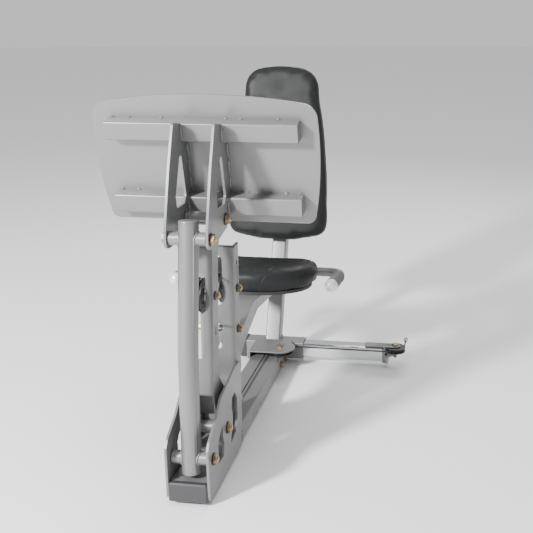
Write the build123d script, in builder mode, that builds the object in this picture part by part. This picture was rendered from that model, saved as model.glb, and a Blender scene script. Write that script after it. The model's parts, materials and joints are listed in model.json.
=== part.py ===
from build123d import *
from math import asin, atan2, cos, hypot, pi, radians, sin
import os

# Leg-press station of a home gym. Millimetres, +Z up, +Y from the front foot towards the seat,
# +X to the right of someone who looks along +Y. The origin is the middle of the front foot's
# underside, on the machine's centre plane X = 0.

# ---- driving dimensions ------------------------------------------------------------------
WALL = 3

# Base beam, a flat rectangular tube along Y
BEAM_WIDTH = 100
BEAM_HEIGHT = 50
BEAM_BOTTOM = 10
BEAM_FRONT = -20
BEAM_REAR = 900
BEAM_TOP = BEAM_BOTTOM + BEAM_HEIGHT
BEAM_MID_Z = BEAM_BOTTOM + BEAM_HEIGHT / 2

# Side plates and their outer skin
GUSSET_INNER = 50
GUSSET_THICK = 6
GUSSET_OUTER = GUSSET_INNER + GUSSET_THICK

# Parallelogram linkage: both arms are the same vector, and so are the ground and the coupler
FRONT_LOW = (4, 112)
GROUND_LINK = (132, 20)
ARM_LINK = (36, 552)
REAR_LOW = (FRONT_LOW[0] + GROUND_LINK[0], FRONT_LOW[1] + GROUND_LINK[1])
FRONT_TOP = (FRONT_LOW[0] + ARM_LINK[0], FRONT_LOW[1] + ARM_LINK[1])
REAR_TOP = (REAR_LOW[0] + ARM_LINK[0], REAR_LOW[1] + ARM_LINK[1])
ARM_LENGTH = hypot(*ARM_LINK)
ARM_LEAN = atan2(ARM_LINK[0], ARM_LINK[1])

# Pivot hardware
PIVOT_R = 8
BUSH_BORE_R = PIVOT_R + 0.05
BUSH_R = 11
OPEN_BUSH_BORE_R = PIVOT_R + 0.6
PIVOT_TUBE_R = 17
PIVOT_TUBE_HALF = 47
BUSH_LENGTH = 22
BUSH_LIP = 1.7

# Arms
FRONT_TUBE_R = 25
REAR_HALF_WIDTH = 36
REAR_SHEET = 4
REAR_WEB_V = -56
REAR_FLANGE_V = -6
ARM_PULLEY_UV = (-34, 362)

# Foot plate: a point at its lower front edge and its lean towards the front
PLATE_Y = 250
PLATE_Z = 654
PLATE_LEAN = radians(13)
PLATE_BOTTOM = 7
PLATE_TOP = 354
PLATE_SIDE_TOP = 328
PLATE_WIDEST = 182
PLATE_LOW_HALF = 272
PLATE_WIDE_HALF = 293
PLATE_TOP_HALF = 288
PLATE_THICK = 5
PAD_RUBBER = 6
CHANNEL_DEPTH = 38
CHANNEL_LENGTH = 494
CHANNEL_WALL = 3
UPPER_CHANNEL = (241, 291)
LOWER_CHANNEL = (41, 91)
BRACKET_INNER = 49
BRACKET_THICK = 6
BRACKET_OUTER = BRACKET_INNER + BRACKET_THICK

# Tower that carries the upper pulley
TOWER_FRONT = 263
TOWER_DEPTH = 42
TOWER_HALF_WIDTH = 50
TOWER_TOP = 585
TOWER_SHEET = 4
TOWER_REAR = TOWER_FRONT + TOWER_DEPTH
CABLE_HOLE_Z = 358

# Cable and pulleys
CABLE_R = 2.5
GROOVE_GAP = 0.3
PULLEY_HALF = 11
FLAT_PULLEY_HALF = 7.5
BEARING_R = 14
BEARING_BORE_R = 6
CABLE_Z = 69
TOWER_PULLEY = (286, 466)
TOWER_WRAP_R = 37
ARM_WRAP_R = 40
BASE_WRAP_R = 46
BASE_PULLEY = (355, CABLE_Z + BASE_WRAP_R)
CORNER_WRAP_R = 41
CORNER_PULLEY = (CORNER_WRAP_R, 842)
END_WRAP_R = 30
END_PULLEY = (428, CORNER_PULLEY[1] + CORNER_WRAP_R + END_WRAP_R)
FLANGE_OVER_CABLE = 5
ANCHOR = (286, 351)
CABLE_TAIL_Y = 985

# Rear sleeve across the beam's end, and the tube that reaches to the home gym
SLEEVE = 60
SLEEVE_LEFT = -92
SLEEVE_RIGHT = 110
SLEEVE_FRONT = BEAM_REAR
SLEEVE_BOTTOM = 17
SLEEVE_TOP = SLEEVE_BOTTOM + SLEEVE
SLEEVE_MID_Y = SLEEVE_FRONT + SLEEVE / 2
SLEEVE_MID_Z = SLEEVE_BOTTOM + SLEEVE / 2
CONNECTOR_END = 385
COVER_THICK = 5

# Upright: foot, knee and top of its centre line (Y, Z)
UPRIGHT = 50
UPRIGHT_FOOT = (936, SLEEVE_TOP)
UPRIGHT_KNEE = (1070, 400)
BACK_LEAN = radians(12)
UPRIGHT_TOP_RUN = 420

# Seat frame and seat
SEAT_HALF = 38
SEAT_SLOPE = 0.1086
SEAT_FRONT_Y = 566
SEAT_UNDER_Z = 346
SEAT_BOARD = 10
SEAT_PAD = 70
SEAT_R = 186
SEAT_CENTRE_Y = 757
SEAT_REAR = 852

# Back rest
BACK_BOARD = 8
BACK_PAD = 54
BACK_HEIGHT = 632
BACK_START = -11
BACK_LOW_HALF = 176
BACK_WIDE_HALF = 184
BACK_TOP_HALF = 139
BACK_SHOULDER = 86

# Handles
HANDLE_X = 250
HANDLE_R = 15
HANDLE_BEND = 50
HANDLE_CROSS = (878, 342)
HANDLE_TIP = (646, 369.5)
GRIP_R = 20
GRIP_LENGTH = 150
SADDLE_HALF = 30
SADDLE_REACH = 16

os.makedirs("parts", exist_ok=True)


def save(piece, node):
    piece.part.label = node
    export_step(piece.part, f"parts/{node}.step")


def facing_front(y):
    """Plane across the machine at depth y: local x is X, local y is Z, extrusion goes to -Y."""
    return Plane.XZ.offset(-y)


def side_plane(x):
    """Plane along the machine at width x: local x is Y, local y is Z, extrusion goes to +X."""
    return Plane.YZ.offset(x)


def arm_plane(x):
    """Rear arm's side plane: local x is the depth v, local y runs up the arm from its pivot."""
    return Plane(
        origin=(x, *REAR_LOW),
        x_dir=(0, cos(ARM_LEAN), -sin(ARM_LEAN)),
        z_dir=(1, 0, 0),
    )


def arm_point(v, u):
    """Side-view place (Y, Z) of a point given in the rear arm's own directions."""
    y = REAR_LOW[0] + v * cos(ARM_LEAN) + u * sin(ARM_LEAN)
    z = REAR_LOW[1] - v * sin(ARM_LEAN) + u * cos(ARM_LEAN)
    return (y, z)


def plate_point(depth, height):
    """Side-view place (Y, Z) at a depth in front of the foot plate and a height up along it."""
    y = PLATE_Y - depth * cos(PLATE_LEAN) - height * sin(PLATE_LEAN)
    z = PLATE_Z - depth * sin(PLATE_LEAN) + height * cos(PLATE_LEAN)
    return (y, z)


def plate_plane(depth):
    """Plane parallel to the foot plate: local x is X, local y is up, extrusion goes to the front."""
    return Plane(
        origin=(0, *plate_point(depth, 0)),
        x_dir=(1, 0, 0),
        z_dir=(0, -cos(PLATE_LEAN), -sin(PLATE_LEAN)),
    )


def plate_side_plane(x):
    """Side plane of the foot plate: local x is depth in front, local y is up, extrusion to -X."""
    return Plane(
        origin=(x, *plate_point(0, 0)),
        x_dir=(0, -cos(PLATE_LEAN), -sin(PLATE_LEAN)),
        z_dir=(-1, 0, 0),
    )


def back_plane(depth):
    """Plane parallel to the back rest: local x is X, local y is up, extrusion to the user."""
    face = UPRIGHT / 2 + depth
    return Plane(
        origin=(0, UPRIGHT_KNEE[0] - face * cos(BACK_LEAN), UPRIGHT_KNEE[1] + face * sin(BACK_LEAN)),
        x_dir=(1, 0, 0),
        z_dir=(0, -cos(BACK_LEAN), sin(BACK_LEAN)),
    )


def cross_bars(points, radius, start, end, bore=0):
    """Round bars or tubes along X from start to end, one at each (Y, Z)."""
    with BuildPart() as bars:
        with BuildSketch(side_plane(start)):
            with Locations(*points):
                Circle(radius)
                if bore:
                    Circle(bore, mode=Mode.SUBTRACT)
        extrude(amount=end - start)
    return bars


def tangent(first, first_turn, second, second_turn):
    """Ends of the straight run between two pulleys, given signed wrap radii (+ is anticlockwise)."""
    dy = second[0] - first[0]
    dz = second[1] - first[1]
    heading = atan2(dz, dy) + asin((first_turn - second_turn) / hypot(dy, dz))
    right = (sin(heading), -cos(heading))
    leave = (first[0] + first_turn * right[0], first[1] + first_turn * right[1])
    meet = (second[0] + second_turn * right[0], second[1] + second_turn * right[1])
    return leave, meet


def on_circle(centre, radius, angle):
    return (centre[0] + radius * cos(angle), centre[1] + radius * sin(angle))


def angle_of(centre, point):
    return atan2(point[1] - centre[1], point[0] - centre[0])


def pulley_profile(outer, groove, half):
    """Section of a cable wheel, in (radius, width), open at its bearing seat.

    The web is recessed on both sides where the wheel is large enough for it.
    """
    hub = BEARING_R + 7
    rim = groove - 5
    side = [(BEARING_R + 0.05, -half)]
    if rim - hub > 8:
        side += [(hub, -half), (hub + 2, -half + 4), (rim - 3, -half + 4), (rim, -half)]
    side += [(outer, -half), (outer, -half + 3), (groove, -CABLE_R)]
    return side + [(radius, -width) for radius, width in reversed(side)]


def pulley(plane, wrap, half):
    """Cable wheel whose axis is the plane's x direction."""
    with BuildPart() as wheel:
        with BuildSketch(plane):
            with BuildLine():
                outline = pulley_profile(wrap + FLANGE_OVER_CABLE, wrap - CABLE_R - GROOVE_GAP, half)
                Polyline([(width, radius) for radius, width in outline], close=True)
            make_face()
        revolve(axis=Axis(plane.origin, plane.x_dir))
    return wheel


# ---- base frame --------------------------------------------------------------------------
with BuildPart() as base_beam:
    with BuildSketch(facing_front(BEAM_REAR)):
        with Locations((0, BEAM_MID_Z)):
            RectangleRounded(BEAM_WIDTH, BEAM_HEIGHT, 6)
            RectangleRounded(BEAM_WIDTH - 2 * WALL, BEAM_HEIGHT - 2 * WALL, 3, mode=Mode.SUBTRACT)
    extrude(amount=BEAM_REAR - BEAM_FRONT)
save(base_beam, "base_beam")

with BuildPart() as beam_end_cap:
    with BuildSketch(facing_front(BEAM_FRONT)):
        with Locations((0, BEAM_MID_Z)):
            RectangleRounded(BEAM_WIDTH, BEAM_HEIGHT, 6)
    extrude(amount=16)
    chamfer(beam_end_cap.faces().sort_by(Axis.Y)[0].edges(), 3.5)
    with BuildSketch(facing_front(BEAM_FRONT)):
        with Locations((0, BEAM_MID_Z)):
            RectangleRounded(BEAM_WIDTH - 2 * WALL - 0.4, BEAM_HEIGHT - 2 * WALL - 0.4, 2.8)
    extrude(amount=-18)
save(beam_end_cap, "beam_end_cap")

with BuildPart() as front_foot:
    with BuildSketch(Plane.XY):
        RectangleRounded(72, 40, 8)
    extrude(amount=BEAM_BOTTOM)
    chamfer(front_foot.faces().sort_by(Axis.Z)[0].edges(), 1.5)
save(front_foot, "front_foot")

with BuildPart() as rear_foot:
    with BuildSketch(Plane.XY):
        with Locations((0, SLEEVE_MID_Y)):
            RectangleRounded(92, 44, 8)
    extrude(amount=SLEEVE_BOTTOM)
    chamfer(rear_foot.faces().sort_by(Axis.Z)[0].edges(), 1.5)
save(rear_foot, "rear_foot")


GUSSET_OUTLINE = [
    (-30, 14),
    (-37, 150),
    (-22, 170),
    (40, 199),
    (86, 236),
    (225, 264),
    (279, 262),
    (279, 14),
]
GUSSET_REAR_WINDOW = [
    (184, 192),
    (214, 197),
    (236, 170),
    (238, 118),
    (216, 82),
    (168, 68),
    (172, 110),
]
GUSSET_FRONT_WINDOW = [
    (50, 74),
    (96, 72),
    (104, 100),
    (92, 160),
    (60, 142),
    (40, 120),
]


def gusset(x):
    """Side plate: low at the front, rising to the tower, with two crescent windows."""
    boss_r = 46
    with BuildPart() as plate:
        with BuildSketch(side_plane(x)):
            with BuildLine():
                FilletPolyline(
                    GUSSET_OUTLINE,
                    radius=12,
                    close=True,
                )
            make_face()
            with Locations(FRONT_LOW, REAR_LOW):
                Circle(PIVOT_R, mode=Mode.SUBTRACT)
        extrude(amount=GUSSET_THICK)
        with BuildSketch(side_plane(x)) as rear_window:
            with BuildLine():
                FilletPolyline(
                    GUSSET_REAR_WINDOW,
                    radius=6,
                    close=True,
                )
            make_face()
            with Locations(REAR_LOW):
                Circle(boss_r + 8, mode=Mode.SUBTRACT)
        extrude(amount=GUSSET_THICK, mode=Mode.SUBTRACT)
        with BuildSketch(side_plane(x)) as front_window:
            with BuildLine():
                FilletPolyline(
                    GUSSET_FRONT_WINDOW,
                    radius=6,
                    close=True,
                )
            make_face()
            with Locations(FRONT_LOW):
                Circle(boss_r, mode=Mode.SUBTRACT)
            with Locations(REAR_LOW):
                Circle(boss_r - 4, mode=Mode.SUBTRACT)
        extrude(amount=GUSSET_THICK, mode=Mode.SUBTRACT)
    return plate


left_gusset = gusset(-GUSSET_OUTER)
save(left_gusset, "left_gusset")
right_gusset = gusset(GUSSET_INNER)
save(right_gusset, "right_gusset")

# ---- tower -------------------------------------------------------------------------------
tower_mid = TOWER_FRONT + TOWER_DEPTH / 2
with BuildPart() as tower:
    with BuildSketch(Plane.XY.offset(BEAM_TOP)):
        with Locations((0, tower_mid)):
            Rectangle(2 * TOWER_HALF_WIDTH, TOWER_DEPTH)
        with Locations((0, tower_mid + TOWER_SHEET)):
            Rectangle(2 * (TOWER_HALF_WIDTH - TOWER_SHEET), TOWER_DEPTH, mode=Mode.SUBTRACT)
    extrude(amount=TOWER_TOP - BEAM_TOP)
    fillet(tower.faces().sort_by(Axis.Y)[0].edges().filter_by(Axis.Z), 3.5)
    with BuildSketch(facing_front(TOWER_FRONT + TOWER_SHEET)):
        with Locations((0, TOWER_PULLEY[1] + 26)):
            SlotCenterToCenter(110, 30, rotation=90)
        with Locations((0, CABLE_HOLE_Z)):
            Circle(14)
        with Locations((0, CABLE_HOLE_Z - 50)):
            Circle(10)
    extrude(amount=TOWER_SHEET + 1, mode=Mode.SUBTRACT)
    with BuildSketch(side_plane(-TOWER_HALF_WIDTH - 1)):
        with Locations(TOWER_PULLEY, ANCHOR):
            Circle(BEARING_BORE_R)
        with Locations((TOWER_PULLEY[0], 538)):
            Circle(6)
    extrude(amount=2 * TOWER_HALF_WIDTH + 2, mode=Mode.SUBTRACT)
save(tower, "tower")

# Stop: a steel box on the tower with a rubber block that the rear arm leans on
STOP_FACE_V = 36.4
STOP_U = (24, 80)
STOP_HALF = 18
with BuildPart() as stop_bumper:
    with BuildSketch(arm_plane(-STOP_HALF)):
        with Locations((STOP_FACE_V + 19, (STOP_U[0] + STOP_U[1]) / 2)):
            Rectangle(38, STOP_U[1] - STOP_U[0])
    extrude(amount=2 * STOP_HALF)
    fillet(stop_bumper.edges().filter_by(Axis.X), 4)
save(stop_bumper, "stop_bumper")

with BuildPart() as stop_bracket:
    with BuildSketch(arm_plane(-30)):
        with Locations((STOP_FACE_V + 38 + 30, (STOP_U[0] + STOP_U[1]) / 2)):
            Rectangle(60, STOP_U[1] - STOP_U[0] + 8)
    extrude(amount=60)
    split(bisect_by=facing_front(TOWER_FRONT), keep=Keep.TOP)
save(stop_bracket, "stop_bracket")

# ---- rear sleeve, connector and covers ---------------------------------------------------
def sleeve_section(width, radius):
    with Locations((SLEEVE_MID_Y, SLEEVE_MID_Z)):
        RectangleRounded(width, width, radius)
        RectangleRounded(width - 2 * WALL, width - 2 * WALL, radius - WALL, mode=Mode.SUBTRACT)


with BuildPart() as rear_sleeve:
    with BuildSketch(side_plane(SLEEVE_LEFT)):
        sleeve_section(SLEEVE, 5)
    extrude(amount=SLEEVE_RIGHT - SLEEVE_LEFT)
save(rear_sleeve, "rear_sleeve")

CONNECTOR = 50
with BuildPart() as connector_tube:
    with BuildSketch(side_plane(SLEEVE_RIGHT - 90)):
        sleeve_section(CONNECTOR, 8)
    extrude(amount=CONNECTOR_END - SLEEVE_RIGHT + 90)
save(connector_tube, "connector_tube")

# Rounded top plate that holds the end pulley, on a pad welded to the connector
CONNECTOR_TOP = SLEEVE_MID_Z + CONNECTOR / 2
NOSE_THICK = 4
NOSE_HALF = 18
NOSE_BOTTOM = CABLE_Z + FLAT_PULLEY_HALF + 0.8
NOSE_START = CONNECTOR_END - 60
with BuildPart() as connector_bracket:
    with BuildSketch(Plane.XY.offset(NOSE_BOTTOM)):
        with Locations(((NOSE_START + END_PULLEY[0]) / 2, END_PULLEY[1])):
            Rectangle(END_PULLEY[0] - NOSE_START, 2 * NOSE_HALF)
        with Locations(END_PULLEY):
            Circle(NOSE_HALF)
            Circle(BEARING_BORE_R, mode=Mode.SUBTRACT)
    extrude(amount=NOSE_THICK)
    with BuildSketch(Plane.XY.offset(CONNECTOR_TOP)):
        with Locations((NOSE_START + 30, END_PULLEY[1] + 6)):
            Rectangle(60, 2 * NOSE_HALF - 12)
    extrude(amount=NOSE_BOTTOM - CONNECTOR_TOP)
save(connector_bracket, "connector_bracket")

# Claw at the connector's end: it hooks on the gym's frame and is locked by a pin across it
CLAW_TOP = CABLE_Z - FLAT_PULLEY_HALF - 0.8
CLAW_BOTTOM = SLEEVE_MID_Z - CONNECTOR / 2
CLAW_FRONT = END_PULLEY[1] - 16
CLAW_REAR = SLEEVE_MID_Y + 23
CLAW_PIN_R = 4.2
CLAW_PIN = (CONNECTOR_END + 14, CLAW_TOP - 8)
with BuildPart() as connector_claw:
    with BuildSketch(facing_front(CLAW_REAR)):
        Polygon(
            (CONNECTOR_END, CLAW_BOTTOM),
            (CONNECTOR_END + 20, CLAW_BOTTOM - 3),
            (CONNECTOR_END + 6, CLAW_BOTTOM + 16),
            (CONNECTOR_END + 20, CLAW_BOTTOM + 20),
            (END_PULLEY[0] + 16, CLAW_TOP - 5),
            (END_PULLEY[0] + 16, CLAW_TOP),
            (CONNECTOR_END, CLAW_TOP),
            align=None,
        )
        with Locations(CLAW_PIN):
            Circle(CLAW_PIN_R, mode=Mode.SUBTRACT)
    extrude(amount=CLAW_REAR - CLAW_FRONT)
    with BuildSketch(Plane.XY.offset(CLAW_TOP)):
        with Locations(END_PULLEY):
            Circle(BEARING_BORE_R)
    extrude(amount=-30, mode=Mode.SUBTRACT)
save(connector_claw, "connector_claw")

# Bent cover over the corner pulley, astride the beam and resting on the sleeve
COVER_REAR = SLEEVE_FRONT + 8
COVER_FRONT = CORNER_PULLEY[1] - 52
COVER_LEG = 4
COVER_BOLT_Y = (812, 880)
COVER_BOLT_Z = 34
COVER_BOLT_R = 5
COVER_BOLT_KEY = 8
with BuildPart() as pulley_cover:
    with BuildSketch(Plane.XY.offset(SLEEVE_TOP)):
        with BuildLine():
            Line((-BEAM_WIDTH / 2 - COVER_LEG, COVER_FRONT), (CORNER_PULLEY[0], COVER_FRONT))
            ThreePointArc(
                (CORNER_PULLEY[0], COVER_FRONT),
                (CORNER_PULLEY[0] + 52, CORNER_PULLEY[1]),
                (CORNER_PULLEY[0] + 34, COVER_REAR - 26),
            )
            Polyline(
                (CORNER_PULLEY[0] + 34, COVER_REAR - 26),
                (CORNER_PULLEY[0] + 26, COVER_REAR),
                (-BEAM_WIDTH / 2 - COVER_LEG, COVER_REAR),
                (-BEAM_WIDTH / 2 - COVER_LEG, COVER_FRONT),
            )
        make_face()
        with Locations(CORNER_PULLEY):
            Circle(BEARING_BORE_R, mode=Mode.SUBTRACT)
    extrude(amount=COVER_THICK)
    with BuildSketch(side_plane(-BEAM_WIDTH / 2 - COVER_LEG)):
        with Locations(((COVER_FRONT + SLEEVE_FRONT) / 2, (SLEEVE_TOP + 18) / 2)):
            Rectangle(SLEEVE_FRONT - COVER_FRONT, SLEEVE_TOP - 18)
        with Locations(*[(y, COVER_BOLT_Z) for y in COVER_BOLT_Y]):
            Circle(COVER_BOLT_R, mode=Mode.SUBTRACT)
    extrude(amount=COVER_LEG)
save(pulley_cover, "pulley_cover")

with BuildPart() as base_pulley_bracket:
    with BuildSketch(side_plane(-24)):
        with BuildLine():
            FilletPolyline(
                [(328, BEAM_TOP), (336, 140), (374, 140), (396, BEAM_TOP)],
                radius=10,
            )
            Line((396, BEAM_TOP), (328, BEAM_TOP))
        make_face()
        with Locations(BASE_PULLEY):
            Circle(BEARING_BORE_R, mode=Mode.SUBTRACT)
    extrude(amount=48)
    with BuildSketch(side_plane(-19)):
        with Locations((362, 110)):
            Rectangle(100, 110)
    extrude(amount=38, mode=Mode.SUBTRACT)
save(base_pulley_bracket, "base_pulley_bracket")

# ---- upright, seat frame and upholstery --------------------------------------------------
knee_to_top = (
    UPRIGHT_KNEE[0] + UPRIGHT_TOP_RUN * sin(BACK_LEAN),
    UPRIGHT_KNEE[1] + UPRIGHT_TOP_RUN * cos(BACK_LEAN),
)
foot_back = atan2(UPRIGHT_KNEE[0] - UPRIGHT_FOOT[0], UPRIGHT_KNEE[1] - UPRIGHT_FOOT[1])


def upright_side(half):
    """Side outline of the cranked upright, half a section either side of its centre line."""
    mid = (foot_back + BACK_LEAN) / 2
    reach = half / cos((foot_back - BACK_LEAN) / 2)
    foot_reach = half / cos(foot_back)
    top = knee_to_top
    return [
        (UPRIGHT_FOOT[0] - foot_reach, UPRIGHT_FOOT[1]),
        (UPRIGHT_KNEE[0] - reach * cos(mid), UPRIGHT_KNEE[1] + reach * sin(mid)),
        (top[0] - half * cos(BACK_LEAN), top[1] + half * sin(BACK_LEAN)),
        (top[0] + half * cos(BACK_LEAN), top[1] - half * sin(BACK_LEAN)),
        (UPRIGHT_KNEE[0] + reach * cos(mid), UPRIGHT_KNEE[1] - reach * sin(mid)),
        (UPRIGHT_FOOT[0] + foot_reach, UPRIGHT_FOOT[1]),
    ]


with BuildPart() as upright:
    with BuildSketch(side_plane(-UPRIGHT / 2)):
        Polygon(*upright_side(UPRIGHT / 2), align=None)
    extrude(amount=UPRIGHT)
    fillet(upright.edges().filter_by(Plane.YZ).filter_by(lambda e: e.length > 100), 5)
    with BuildSketch(side_plane(-UPRIGHT / 2 + WALL)):
        Polygon(*upright_side(UPRIGHT / 2 - WALL), align=None)
    extrude(amount=UPRIGHT - 2 * WALL, mode=Mode.SUBTRACT)
save(upright, "upright")


def seat_under(y):
    """Height of the seat frame's top edge at depth y."""
    return SEAT_UNDER_Z - SEAT_SLOPE * (y - SEAT_FRONT_Y)


SEAT_FRAME_REAR = 1040
with BuildPart() as seat_frame:
    with BuildSketch(side_plane(-SEAT_HALF)):
        Polygon(
            (TOWER_REAR, 226),
            (420, 276),
            (560, 314),
            (700, 300),
            (SEAT_FRAME_REAR, 262),
            (SEAT_FRAME_REAR, seat_under(SEAT_FRAME_REAR)),
            (500, seat_under(500)),
            (TOWER_REAR, 296),
            align=None,
        )
    extrude(amount=2 * SEAT_HALF)
    with BuildSketch(side_plane(-SEAT_HALF + TOWER_SHEET)):
        Polygon(
            (TOWER_REAR - 1, 180),
            (SEAT_FRAME_REAR + 1, 180),
            (SEAT_FRAME_REAR + 1, seat_under(SEAT_FRAME_REAR) - TOWER_SHEET),
            (500, seat_under(500) - TOWER_SHEET),
            (380, 310),
            (372, 400),
            (TOWER_REAR - 1, 400),
            align=None,
        )
    extrude(amount=2 * (SEAT_HALF - TOWER_SHEET), mode=Mode.SUBTRACT)
    with BuildSketch(facing_front(TOWER_REAR + TOWER_SHEET)):
        with Locations((0, 258)):
            Rectangle(2 * TOWER_HALF_WIDTH, 64)
            Rectangle(44, 65, mode=Mode.SUBTRACT)
    extrude(amount=TOWER_SHEET)
    with BuildSketch(side_plane(-SEAT_HALF - 1)):
        Polygon(*upright_side(UPRIGHT / 2), align=None)
        with Locations((1055, 250)):
            Rectangle(80, 400)
    extrude(amount=2 * SEAT_HALF + 2, mode=Mode.SUBTRACT)
    # Saddle welded on top, shaped to the handle tube that crosses it
    with BuildSketch(side_plane(-SADDLE_HALF)):
        Polygon(
            (HANDLE_CROSS[0] - SADDLE_REACH, seat_under(HANDLE_CROSS[0] - SADDLE_REACH)),
            (HANDLE_CROSS[0] + SADDLE_REACH, seat_under(HANDLE_CROSS[0] + SADDLE_REACH)),
            (HANDLE_CROSS[0] + SADDLE_REACH, HANDLE_CROSS[1]),
            (HANDLE_CROSS[0] - SADDLE_REACH, HANDLE_CROSS[1]),
            align=None,
        )
        with Locations(HANDLE_CROSS):
            Circle(HANDLE_R, mode=Mode.SUBTRACT)
    extrude(amount=2 * SADDLE_HALF)
save(seat_frame, "seat_frame")

with BuildPart() as handle_bar:
    with BuildLine() as handle_path:
        FilletPolyline(
            (-HANDLE_X, *HANDLE_TIP),
            (-HANDLE_X, *HANDLE_CROSS),
            (HANDLE_X, *HANDLE_CROSS),
            (HANDLE_X, *HANDLE_TIP),
            radius=HANDLE_BEND,
        )
    handle_slope = Vector(0, HANDLE_CROSS[0] - HANDLE_TIP[0], HANDLE_CROSS[1] - HANDLE_TIP[1]).normalized()
    with BuildSketch(Plane(origin=(-HANDLE_X, *HANDLE_TIP), x_dir=(1, 0, 0), z_dir=handle_slope)):
        Circle(HANDLE_R)
        Circle(HANDLE_R - 2.5, mode=Mode.SUBTRACT)
    sweep(path=handle_path.line)
save(handle_bar, "handle_bar")


def handle_planes():
    """Planes across each handle at its front tip, facing the seat."""
    sides = (-HANDLE_X, HANDLE_X)
    return [Plane(origin=(x, *HANDLE_TIP), x_dir=(1, 0, 0), z_dir=handle_slope) for x in sides]


with BuildPart() as handle_grips:
    for tip in handle_planes():
        with BuildSketch(tip.offset(2)):
            Circle(GRIP_R)
            Circle(HANDLE_R, mode=Mode.SUBTRACT)
        extrude(amount=GRIP_LENGTH)
save(handle_grips, "handle_grips")

with BuildPart() as handle_ends:
    for tip in handle_planes():
        with BuildSketch(Plane(origin=tip.origin, x_dir=tip.z_dir, z_dir=tip.x_dir)):
            with BuildLine():
                ThreePointArc((-16.5, 0), (-13, 11.5), (-3, GRIP_R))
                Polyline(
                    (-3, GRIP_R),
                    (2, GRIP_R),
                    (2, HANDLE_R),
                    (0, HANDLE_R),
                    (0, HANDLE_R - 2.5),
                    (14, HANDLE_R - 2.5),
                    (14, 0),
                    (-16.5, 0),
                )
            make_face()
        revolve(axis=Axis(tip.origin, tip.z_dir))
save(handle_ends, "handle_ends")

seat_tilt = -atan2(SEAT_SLOPE, 1)


def seat_plane(offset):
    """Plane parallel to the seat: local y runs back along the seat from the semicircle's centre."""
    up = (0, -sin(seat_tilt), cos(seat_tilt))
    base = (0, SEAT_CENTRE_Y, seat_under(SEAT_CENTRE_Y))
    origin = (0, base[1] + offset * up[1], base[2] + offset * up[2])
    return Plane(origin=origin, x_dir=(1, 0, 0), z_dir=up)


def seat_outline(inset):
    """Round-nosed seat, semicircular in front and square with rounded corners behind."""
    rear = (SEAT_REAR - SEAT_CENTRE_Y) - inset
    half = SEAT_R - inset
    corner = 45
    with BuildLine() as edge:
        ThreePointArc((-half, 0), (0, -half), (half, 0))
        Line((half, 0), (half, rear - corner))
        TangentArc((half, rear - corner), (half - corner, rear), tangent=(0, 1))
        Line((half - corner, rear), (-half + corner, rear))
        TangentArc((-half + corner, rear), (-half, rear - corner), tangent=(-1, 0))
        Line((-half, rear - corner), (-half, 0))
    make_face(edge.edges())


with BuildPart() as seat_board:
    with BuildSketch(seat_plane(0)):
        seat_outline(22)
    extrude(amount=SEAT_BOARD)
save(seat_board, "seat_board")

with BuildPart() as seat_pad:
    with BuildSketch(seat_plane(SEAT_BOARD)):
        seat_outline(0)
    extrude(amount=SEAT_PAD)
    fillet(seat_pad.faces().sort_by(Axis.Z)[-1].edges(), 20)
    fillet(seat_pad.faces().sort_by(Axis.Z)[0].edges(), 8)
save(seat_pad, "seat_pad")


def back_outline(inset):
    """Back rest outline: nearly flat below, widest a third of the way up, arched and narrower above."""
    low = BACK_LOW_HALF - inset
    wide = BACK_WIDE_HALF - inset
    top = BACK_TOP_HALF - inset
    base = BACK_START + inset
    end = BACK_START + BACK_HEIGHT - inset
    low_end = (low - 26, base + 22)
    low_side = (low + 5, base + 61)
    high_side = (wide - 8, base + 300)
    shoulder = (top, end - BACK_SHOULDER)
    arch_end = (top - 63, end - 8)
    with BuildLine() as edge:
        ThreePointArc(low_end, (low - 4, base + 37), low_side)
        ThreePointArc(low_side, (wide, base + 185), high_side)
        Spline(high_side, (top + 12, end - 150), shoulder, tangents=[(-0.08, 1), (-0.06, 1)])
        ThreePointArc(shoulder, (top - 18, end - 36), arch_end)
        mirror(about=Plane.YZ)
        ThreePointArc((-low_end[0], low_end[1]), (0, base), low_end)
        ThreePointArc(arch_end, (0, end), (-arch_end[0], arch_end[1]))
    make_face(edge.edges())


with BuildPart() as back_board:
    with BuildSketch(back_plane(0)):
        back_outline(20)
    extrude(amount=BACK_BOARD)
save(back_board, "back_board")

with BuildPart() as back_pad:
    with BuildSketch(back_plane(BACK_BOARD)):
        back_outline(0)
    extrude(amount=BACK_PAD)
save(back_pad, "back_pad")

# Black plastic plugs and edge caps of the sleeve, the upright and the tower
with BuildPart() as end_plugs:
    with BuildSketch(side_plane(SLEEVE_LEFT)):
        with Locations((SLEEVE_MID_Y, SLEEVE_MID_Z)):
            RectangleRounded(SLEEVE + 6, SLEEVE + 6, 9)
    extrude(amount=-20)
    chamfer(end_plugs.faces().sort_by(Axis.X)[0].edges(), 3)
    with BuildSketch(side_plane(SLEEVE_LEFT)):
        with Locations((SLEEVE_MID_Y, SLEEVE_MID_Z)):
            RectangleRounded(SLEEVE - 2 * WALL, SLEEVE - 2 * WALL, 2)
    extrude(amount=20)
    top_plane = Plane(
        origin=(0, *knee_to_top),
        x_dir=(1, 0, 0),
        z_dir=(0, sin(BACK_LEAN), cos(BACK_LEAN)),
    )
    with BuildSketch(top_plane):
        RectangleRounded(UPRIGHT, UPRIGHT, 6)
    extrude(amount=4)
    with BuildSketch(Plane.XY.offset(TOWER_TOP)):
        with Locations((0, tower_mid)):
            Rectangle(2 * TOWER_HALF_WIDTH, TOWER_DEPTH)
        with Locations((0, tower_mid + 6)):
            Rectangle(2 * TOWER_HALF_WIDTH - 12, TOWER_DEPTH, mode=Mode.SUBTRACT)
    extrude(amount=4)
save(end_plugs, "end_plugs")

# ---- front arm ---------------------------------------------------------------------------
ARM_TUBE_PATH = [(FRONT_LOW[0] + 1, 78), (FRONT_LOW[0] + 1, 372), (FRONT_TOP[0] + 4, FRONT_TOP[1] + 40)]


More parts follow.
